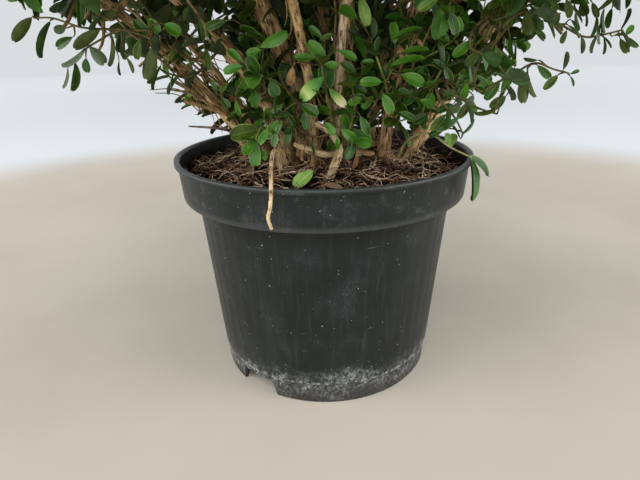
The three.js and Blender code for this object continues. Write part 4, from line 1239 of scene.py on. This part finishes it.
def lowest(points):
    """The height below which no leaf hangs, at each point's bearing and distance from the middle."""
    points = np.atleast_2d(points)
    flat = np.hypot(points[:, 0], points[:, 1]) + 1e-6
    front, back = np.clip(-points[:, 1] / flat, 0, 1), np.clip(points[:, 1] / flat, 0, 1)
    right = np.clip(points[:, 0] / flat, 0, 1) ** 2
    share = np.minimum(1, 1.35 * front ** 1.3)
    base = HEM["side"] + HEM["front"] * share + HEM["back"] * back ** 2 - HEM["right_drop"] * right
    rise = np.clip((flat - HEM["rise_from"] + HEM["right_in"] * right) * HEM["rise"], 0, HEM["rise_most"])
    return base + rise * (1 - share)


def edge_of_ball(directions):
    """How far the clipped leaves reach in each direction."""
    p = directions * BALL["core_radius"] / BALL["waves"] + (0, 1, 2)
    return BALL["radius"] - 5 + BALL["relief"] * np.sin(p).sum(axis=-1) / 3


def open_underneath(points):
    """True where a point lies in the bare space round the stems or below the hem."""
    flat = np.hypot(points[:, 0], points[:, 1])
    return (points[:, 2] < lowest(points) + 12) | ((flat < 95) & (points[:, 2] < BALL["core_bottom"]))


def mass_of(point):
    """The index of the leaf mass that a point belongs to."""
    towards = unit(point - CENTRE)
    return int(np.argmax([direction(bearing, rise).dot(towards) for _, bearing, rise in MASSES]))


def grow_limb(wood, site, radii, count, rng, arriving, least=18.0):
    """A limb from the wood grown so far to a site, which it reaches along a direction."""
    start, heading, thick = wood.best_start(site, least)
    towards = unit(site - start)
    leaving = unit(heading * 0.7 + towards + rng.normal(0, 0.12, 3))
    line = bow(start, leaving, site, unit(arriving + towards * 0.35 + rng.normal(0, 0.12, 3)), count)
    return line, np.linspace(min(radii[0], thick * 0.85), radii[1], count)


def leaves_on(line, pairs, size, rng, tone, first=0.3, droop=0.0, rosette=2):
    """Crossed pairs of leaves along a twig, and a rosette at its tip. Each leaf is a root,
    a heading, the way its upper side faces, a size and a tone."""
    ahead = tangents(line)
    made = []
    turn = rng.uniform(0, 180)
    for i in range(pairs + rosette):
        share = first + (0.99 - first) * min(1.0, i / max(pairs - 1, 1))
        at = share * (len(line) - 1)
        low = min(int(at), len(line) - 2)
        root = line[low] + (line[low + 1] - line[low]) * (at - low)
        along = unit(ahead[low])
        across = unit(np.cross(along, UP if abs(along[2]) < 0.9 else np.array([1.0, 0, 0])))
        turn += 90 + rng.normal(0, SPRIG["turn_spread"])
        c, s = math.cos(math.radians(turn)), math.sin(math.radians(turn))
        across = across * c + np.cross(along, across) * s
        young = max(0, i - pairs + 1)
        angle = rng.normal(SPRIG["opening"] - 16 * share - 12 * young, SPRIG["opening_spread"])
        opening = math.radians(angle)
        scale = (0.80 + 0.25 * math.sin(math.pi * share)) * (1 - 0.2 * young)
        for outward in (across, -across):
            if rng.uniform() < SPRIG["missing"]:
                continue
            hang = UP * droop * rng.uniform(0.4, 1.6)
            heading = unit(along * math.cos(opening) + outward * math.sin(opening) - hang)
            face = along * math.sin(opening) - outward * math.cos(opening) + UP * 0.7 + rng.normal(0, 0.22, 3)
            big = scale * rng.uniform(0.82, 1.16)
            broad = size["width"] * big * rng.uniform(0.9, 1.1)
            own = tone if rng.uniform() < SPRIG["alike"] else int(rng.integers(0, TONES.index("light")))
            length = size["length"] * big
            made.append((root + heading * SPRIG["stalk"], heading, face, (length, broad, length), own))
    return made


def spray_tone(rng, shares=BALL_TONES):
    """The green of a whole spray, by the share of sprays that each has."""
    return int(rng.choice(len(TONES), p=shares))


def within_ball(leaves):
    """The leaves, each drawn in where its tip would pass the clipped surface."""
    kept = []
    for root, heading, face, size, tone in leaves:
        tip = root + heading * size[0] - CENTRE
        spare = edge_of_ball(unit(tip)) - np.linalg.norm(tip)
        if spare < 0:
            root = root + unit(tip) * spare
        kept.append((root, heading, face, size, tone))
    return kept


def leaf_piece(name, leaves, shape, look=None):
    """One piece of leaves of a shape, dressed by their tones or all in one look."""
    roots, headings, faces, sizes, tones = (list(column) for column in zip(*leaves))
    mesh = new_mesh(name, np.array(roots))
    store(mesh, "heading", "FLOAT_VECTOR", np.array(headings))
    store(mesh, "face", "FLOAT_VECTOR", np.array(faces))
    store(mesh, "size", "FLOAT_VECTOR", np.array(sizes) * MM)
    store(mesh, "tone", "INT", np.array(tones, dtype=np.int32))
    dressing = dict.fromkeys(DRESSING, look) if look else DRESSING
    return grown(name, mesh, LEAVES, {"Leaf": SHAPES[shape], **dressing})


def leaves_down(leaves, clear=0.0):
    """The leaves whose tips stay above the crown's lower edge."""
    tips = np.array([root + heading * size[0] for root, heading, _, size, _ in leaves])
    return [leaf for leaf, high in zip(leaves, tips[:, 2] > lowest(tips) - clear) if high]


def limbs_inside(wood, rng):
    """Boughs, and then branches that start from them, spread evenly inside the ball."""
    limbs = []
    for level in (BOUGHS, BRANCHES):
        sites = CENTRE + spread(level["sites"]) * level["reach"]
        radii, count = level["radii"], level["points"]
        made = [(mass_of(site), grow_limb(wood, site, radii, count, rng, unit(site - CENTRE)))
                for site in sites[~open_underneath(sites)]]
        limbs += made
        wood.take([limb for _, limb in made], 0.3)
    return limbs


def shell_twigs(wood, rng):
    """Twigs that end just under the clipped surface."""
    twigs = []
    ahead = spread(TWIGS["sites"])
    sites = CENTRE + ahead * (edge_of_ball(ahead) - TWIGS["clear"])[:, None]
    for site in sites[sites[:, 2] > lowest(sites) + 12]:
        low_at_side = site[2] < SHELL_GAPS["below"] and abs(site[0]) > SHELL_GAPS["beyond"]
        if low_at_side and rng.uniform() < SHELL_GAPS["share"]:
            continue
        arriving = unit(site - CENTRE) + UP * 0.25
        twig = grow_limb(wood, site, TWIGS["radii"], TWIGS["points"], rng, arriving, TWIGS["least"])
        twigs.append((mass_of(site), twig))
    return twigs


def underside_twigs(wood, rng):
    """Twigs that end over the open space round the stems, with gaps at both sides."""
    twigs = []
    share = (np.arange(UNDER["sites"]) + 0.5) / UNDER["sites"]
    flat = np.sqrt(UNDER["inner"] ** 2 + share * (UNDER["outer"] ** 2 - UNDER["inner"] ** 2))
    turn = golden_turns(UNDER["sites"])
    sites = np.stack([flat * np.cos(turn), flat * np.sin(turn), np.zeros_like(flat)], axis=1)
    bottom = lowest(sites) + 14
    sites[:, 2] = bottom + rng.uniform(0, 1, len(sites)) ** 1.4 * np.clip(UNDER["top"] - bottom, 4, None)
    for site in sites:
        arriving = unit([site[0], site[1], 0]) - UP * rng.uniform(-0.3, 0.5)
        if abs(site[0]) > UNDER["open_beyond"] and rng.uniform() < UNDER["open_share"]:
            continue
        twig = grow_limb(wood, site, TWIGS["radii"], TWIGS["points"], rng, arriving, TWIGS["least"])
        twigs.append((mass_of(site), twig))
    return twigs


def inner_twigs(wood, rng):
    """Twigs further in, whose larger leaves close the view into the ball."""
    sites = CENTRE + spread(INNER["sites"]) * INNER["reach"]
    return [(mass_of(site), grow_limb(wood, site, TWIGS["radii"], INNER["points"], rng, unit(site - CENTRE)))
            for site in sites[sites[:, 2] > INNER["above"]]]


def twigs_up_the_stems(stems, rng):
    """Twigs that spring from the upper stems at even steps, some left out."""
    twigs = []
    for line, _ in stems:
        for at in np.arange(UP_STEM["from"], line[-1][2], UP_STEM["step"]):
            low = int(np.argmax(line[:, 2] > at))
            outward = unit(direction(rng.uniform(0, 360), rng.uniform(-5, 45)))
            site = line[low] + outward * rng.uniform(*UP_STEM["length"])
            if rng.uniform() < UP_STEM["share"]:
                leaving = unit(outward + tangents(line)[low] * 0.4)
                twig = bow(line[low], leaving, site, unit(outward + UP * 0.3), 7)
                twigs.append((mass_of(site), tapered(twig, UP_STEM["radii"])))
    return twigs


def grow_sprays(wood, rng):
    """The sprays that the photograph shows, each joined to the nearest wood by a twig."""
    twigs, leaves = [], []
    for plane, pixels, pairs, tone, droop in SPRAYS.values():
        line = curve_through([seen_at(pixel, plane) for pixel in pixels], 5 * len(pixels))
        start, _, _ = wood.best_start(line[0], 12)
        mass, towards = mass_of(line[0]), unit(line[0] - start)
        joint = bow(start, towards, line[0], unit(towards + tangents(line)[0]), 9)
        twigs += [(mass, tapered(joint, (1.4, 1.1))), (mass, tapered(line, (1.1, 0.6)))]
        made = leaves_on(line, pairs, SPRAY_LEAF, rng, TONES.index(tone), first=0.25, droop=droop, rosette=0)
        leaves += [(mass, leaf, "fine") for leaf in made]
    return twigs, leaves


def bare_twigs(wood):
    """The bare twigs that the photograph shows, each from the nearest wood."""
    limbs = []
    for plane, pixels, thickness in BARE_TWIGS.values():
        line = curve_through([seen_at(pixel, plane) for pixel in pixels], 12)
        start, _, _ = wood.best_start(line[0], 4)
        limbs.append((mass_of(line[0]), tapered(np.vstack([start, line]), thickness)))
    return limbs


def grow_ball(stems):
    """Grows the crown from the stems' lines: its limbs, its twigs and its leaves, each with the
    index of the leaf mass that it belongs to."""
    rng = np.random.default_rng(5)
    wood = Wood()
    wood.take(stems, 0.45)
    limbs = limbs_inside(wood, rng)
    twigs = shell_twigs(wood, rng)
    twigs += underside_twigs(wood, rng)
    inner = inner_twigs(wood, rng)
    twigs += twigs_up_the_stems(stems, rng)
    leaves = []
    for mass, (line, _) in twigs:
        made = leaves_on(line, TWIGS["pairs"], LEAF, rng, spray_tone(rng), first=0.34, droop=0.15)
        leaves += [(mass, leaf, "plain") for leaf in leaves_down(within_ball(made), 4)]
    for mass, (line, _) in inner:
        made = leaves_on(line, INNER["pairs"], INNER_LEAF, rng, spray_tone(rng), first=0.3, rosette=1)
        leaves += [(mass, leaf, "plain") for leaf in made]
    sprays, spray_leaves = grow_sprays(wood, rng)
    return limbs + bare_twigs(wood), twigs + inner + sprays, leaves + spray_leaves


def grow_leaves_seen(bearers):
    """Single leaves where the photograph shows them, each on a stalk from the nearest twig. A leaf
    that looks narrow is turned about its midrib."""
    rng = np.random.default_rng(17)
    points = np.vstack(bearers)
    _, _, ahead = camera_axes()
    stalks, leaves = [], []
    for plane, rows in LEAVES_SEEN.values():
        for root_pixel, tip_pixel, breadth, look in rows:
            depth = plane + rng.uniform(-7, 7)
            root, tip = seen_at(root_pixel, depth), seen_at(tip_pixel, depth + rng.uniform(-6, 6))
            heading, length = unit(tip - root), np.linalg.norm(tip - root)
            seen = (breadth - BOWED_EDGE) * ahead.dot(root - CAMERA["place"]) / PHOTO["focal"]
            broad = max(seen, SLIMMEST_LEAF * length)
            turn = math.acos(seen / broad) * rng.choice((-1, 1))
            view = unit(np.cross(np.cross(heading, -ahead), heading))
            face = view * math.cos(turn) + np.cross(heading, view) * math.sin(turn)
            if look in LEAF_BACKS:
                face, tone = -face, list(LEAF_BACKS).index(look)
            else:
                tone = TONES.index(look) if look in TONES else TONES.index("light")
            start = points[np.argmin(np.linalg.norm(points - root + heading * 5, axis=1))]
            mass = mass_of(root)
            stalk = bow(start, unit(root - start), root, heading, 6)
            stalks.append((mass, tapered(stalk, STALK_RADII)))
            leaves.append((mass, (root, heading, face, (length, broad, length), tone), look))
    return stalks, leaves


def from_stems(stems, rule, rng):
    """Starts and outward headings of shoots that spring low down from the stems by a rule."""
    for _ in range(rule["count"]):
        line, radii = stems[int(rng.integers(len(stems)))]
        low = int(np.argmax(line[:, 2] > rng.uniform(*rule["heights"])))
        out = line[low][:2] - CLUMP_MIDDLE + rng.normal(0, 26, 2)
        bearing = math.degrees(math.atan2(out[1], out[0]))
        yield line[low], tangents(line)[low], direction(bearing + rng.normal(0, 25), rng.uniform(5, 50))


def grow_low_shoots(stems, rng):
    """Young leafy shoots at the foot of the crown and behind the stems."""
    shoots, leaves = [], []
    back = [stem for (name, *_), stem in zip(STEMS, stems) if name in BACK_STEMS]
    for rule, bearers, shape in ((LOW_SHOOTS, stems, "fine"), (BACK_SHOOTS, back, "near")):
        for start, ahead, out in from_stems(bearers, rule, rng):
            reach = rng.uniform(*rule["length"])
            end = start + out * reach + UP * reach * 0.3
            line = bow(start, unit(out + ahead * 0.3), end, unit(out + UP * 0.8), 12)
            mass = mass_of(line[-1])
            hanging = line[-1][2] < rule["low"] and np.linalg.norm(line[-1][:2]) > rule["flat"]
            if line[-1][1] < rule["clear"] or hanging:
                continue
            shoots.append((mass, tapered(line, rule["radii"])))
            made = leaves_on(line, rule["pairs"], SHOOT_LEAF, rng, spray_tone(rng, rule["tones"]), first=0.3)
            leaves += [(mass, leaf, shape) for leaf in made]
    return shoots, leaves


def grow_thin_shoots(stems, rng):
    """Thin bare shoots that climb beside the stems, none of them far in front."""
    thin = []
    for start, ahead, out in from_stems(stems, THIN_SHOOTS, rng):
        reach = rng.uniform(*THIN_SHOOTS["length"])
        way = unit(ahead * 1.3 + out * 0.7)
        line = bow(start, unit(ahead + out * 0.4), start + way * reach, unit(way + UP * 0.35), 10)
        line[1:-1] += rng.normal(0, 1.1, (8, 3))
        if line[-1][1] >= THIN_SHOOTS["clear"]:
            thin.append((mass_of(line[-1]), tapered(line, THIN_SHOOTS["radii"])))
    return thin


def peel_shreds(stems, rng):
    """Loose shreds of bark along the lower stems."""
    shreds = []
    for line, radii in stems:
        ahead = tangents(line)
        for at in np.arange(SHREDS["from"], min(SHREDS["to"], length_of(line)), SHREDS["spacing"]):
            low = min(int(at / STEM["march"]), len(line) - 2)
            side = unit(np.cross(ahead[low], rng.normal(0, 1, 3)))
            start = line[low] + side * radii[low] * 0.95
            way = unit(ahead[low] * rng.choice((-1, 1)) + side * rng.uniform(0.12, 0.6))
            end = start + way * rng.uniform(*SHREDS["length"])
            shred = bow(start, way, end, unit(way + side * 0.8), 6)
            shreds.append((mass_of(end), tapered(shred, SHREDS["radii"])))
    return shreds


# The plant

def finish_piece(piece, slot, *nodes):
    """Fixes a piece to the plant in place of its nodes."""
    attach(piece, "root")
    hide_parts(*nodes)


def build_stems():
    """The stems' wood. Gives their lines and the radii along them."""
    stems = []
    for index, (name, foot, bearing, lean, bend, radii, bark) in enumerate(STEMS):
        line = stem_line(index, foot, bearing, lean, bend)
        stems.append(tapered(line, radii))
        finish_piece(stem_piece(name, index, line, radii, bark), "bark", name)
    return stems


def build_bare_wood(lines):
    """The loose shoot, the bent wood and the dead twigs, which grow from the stems' lines."""
    for index, (name, (points, radii, bark)) in enumerate(BARE_WOOD.items()):
        piece = bark_piece(f"bark_of_{name}", curve_through(points, 60), even_taper(radii),
                           BARK[bark], 40 + index, 12, 2.2, 1.3)
        finish_piece(piece, "pale_bark", name)
    for index, (name, stem, height, reach) in enumerate(DEAD_TWIGS):
        line = curve_through(side_points(lines[stem], height, reach), 24)
        piece = bark_piece(f"bark_of_{name}", line, even_taper(DEAD_TWIG_RADII),
                           BARK["dead"], 60 + index, 8, 2.5, 1.2)
        finish_piece(piece, "pale_bark", name)


def build_low_shoots(lines):
    """The named leafy shoots low on the stems. Gives their lines."""
    rng = np.random.default_rng(9)
    low_lines = []
    for name, stem, height, reach in SHOOTS:
        line = curve_through(side_points(lines[stem], height, reach), 16)
        low_lines.append(line)
        piece = tubes(f"twig_of_{name}", [tapered(line, SHOOT_RADII)], YOUNG_TWIG, 8)
        finish_piece(piece, "leaves", name)
        made = leaves_on(line, 3, SHOOT_LEAF, rng, TONES.index(SHOOT_TONES[name]), first=0.3, rosette=1)
        finish_piece(leaf_piece(f"leaves_of_{name}", made, "fine"), "leaves", name)
    return low_lines


def build_arching_shoot():
    """The thin shoot that arches over the rim, with its few leaves."""
    line = curve_through(ARCH_POINTS, 40)
    piece = tubes("twig_of_shoot_arching", [tapered(line, ARCH_RADII)], ARCH_TWIG, 8)
    finish_piece(piece, "leaves", "shoot_arching")
    made = []
    for leaf in ARCH_LEAVES:
        root, reach, face = (np.array(leaf[key], float) for key in ("root", "heading", "up"))
        size = np.linalg.norm(reach)
        made.append((root, unit(reach), face, (size, size * 0.5, size), TONES.index(leaf["look"])))
    finish_piece(leaf_piece("leaves_of_shoot_arching", made, "fine"), "leaves", "shoot_arching")


def build_crown(stems, low_lines):
    """The wood and the leaves of the masses, each kind a piece for each mass."""
    limbs, twigs, leaves = grow_ball(stems)
    rng = np.random.default_rng(31)
    shoots, shoot_leaves = grow_low_shoots(stems, rng)
    thin, shreds = grow_thin_shoots(stems, rng), peel_shreds(stems, rng)
    leaves += shoot_leaves
    stalks, single_leaves = grow_leaves_seen([line for _, (line, _) in twigs + shoots] + low_lines)
    twigs += stalks
    leaves += [(mass, leaf, "fine") for mass, leaf, look in single_leaves if look not in SINGLE_LOOKS]
    for look, made in SINGLE_LOOKS.items():
        own = [leaf for _, leaf, leaf_look in single_leaves if leaf_look == look]
        finish_piece(leaf_piece(f"leaves_{look}", own, "fine", made), "leaves", "foliage_front")
    wood = [
        ("boughs", limbs, BRANCH_BARK, 6), ("twigs", twigs, TWIG_BARK, 4),
        ("young_shoots", shoots, YOUNG_TWIG, 6), ("thin_shoots", thin, THIN_BARK, 5),
        ("bark_shreds", shreds, THIN_BARK, 3),
    ]
    eye = np.array(CAMERA["place"])
    for index, (mass, _, _) in enumerate(MASSES):
        for kind, grown_limbs, bark, sides in wood:
            own = [limb for i, limb in grown_limbs if i == index]
            if own:
                finish_piece(tubes(f"{kind}_of_{mass}", own, bark, sides), "bark", mass)
        sorted_leaves = {shape: [] for shape in SHAPES}
        for i, leaf, shape in leaves:
            if i == index:
                close = np.linalg.norm(leaf[0] - eye) < NEAR["reach"] and leaf[0][2] < NEAR["below"]
                sorted_leaves["near" if close and shape == "plain" else shape].append(leaf)
        for shape, own in sorted_leaves.items():
            if own:
                finish_piece(leaf_piece(f"{shape}_leaves_of_{mass}", own, shape), "leaves", mass)


def build_plant():
    stems = build_stems()
    lines = {name: line for (name, *_), (line, _) in zip(STEMS, stems)}
    build_bare_wood(lines)
    low_lines = build_low_shoots(lines)
    build_arching_shoot()
    build_crown(stems, low_lines)
    finish_piece(build_pot(), "pot_plastic", "pot")
    finish_piece(build_soil(), "compost", "soil")
    for piece in build_fibres():
        finish_piece(piece, "compost", "soil")
    finish_piece(leaf_piece("leaf_litter", litter(), "near", LEAF_LITTER), "compost", "soil")
    finish_piece(leaf_piece("fallen_green_leaves", fallen_leaves(), "fine"), "leaves", "soil")
    finish_piece(tubes("surface_roots", root_lines(), BARK["brown"], 7), "bark", "soil")
    for shape in SHAPES.values():
        bpy.data.objects.remove(shape)


# Camera, light and floor

def build_camera():
    right, up, ahead = camera_axes()
    data = bpy.data.cameras.new("camera")
    data.lens, data.sensor_width = CAMERA["lens"], CAMERA["sensor"]
    data.clip_start, data.clip_end = 0.01, 60
    camera = new_object("camera", data)
    turn = Matrix((right, up, -ahead)).transposed().to_4x4()
    camera.matrix_world = Matrix.Translation(Vector(CAMERA["place"]) * MM) @ turn
    bpy.context.scene.camera = camera


def pale_floor():
    # Pale floor, painted: warm grey near the plant, and white further off
    made, tree = material("painted_pale_floor")
    place = add(tree, "ShaderNodeTexCoord").outputs["Object"]
    away = add(tree, "ShaderNodeVectorMath", {0: place}, operation="LENGTH").outputs["Value"]
    cloud = grain(tree, place, 420, 4)
    colour = "a69e92"
    for value, low, high, beyond in (
        (cloud, 0.3, 0.7, "b0a89c"), (away, 1.0, 1.35, "c4c7ca"), (away, 1.8, 5.5, "e9ebee"),
    ):
        limits = {"Value": value, "From Min": low, "From Max": high}
        share = add(tree, "ShaderNodeMapRange", limits, interpolation_type="SMOOTHSTEP")
        colour = add(tree, "ShaderNodeMix", {"Factor": share, 6: colour, 7: beyond}, data_type="RGBA")
    finish_material(tree, colour, 0.8, Specular_IOR_Level=0.2)
    return made


def build_setting():
    floor = new_object("floor", turned("floor", [(FLOOR_RADIUS, 0), (0, 0)], 96))
    floor.data.materials.append(pale_floor())
    world = bpy.data.worlds.new("soft_room_light")
    world.use_nodes = True
    sky = world.node_tree.nodes["Background"].inputs
    sky["Color"].default_value = linear_colour("eef1f4")
    sky["Strength"].default_value = 0.82
    bpy.context.scene.world = world
    for name, place, size, power in LIGHTS:
        data = bpy.data.lights.new(name, "AREA")
        data.shape, data.size, data.energy = "DISK", size, power
        lamp = new_object(name, data)
        lamp.location = place
        lamp.rotation_euler = (Vector(LIT_PLACE) - lamp.location).to_track_quat("-Z", "Y").to_euler()
    bpy.context.scene.view_settings.view_transform = "Standard"


build_camera()
build_setting()
build_plant()
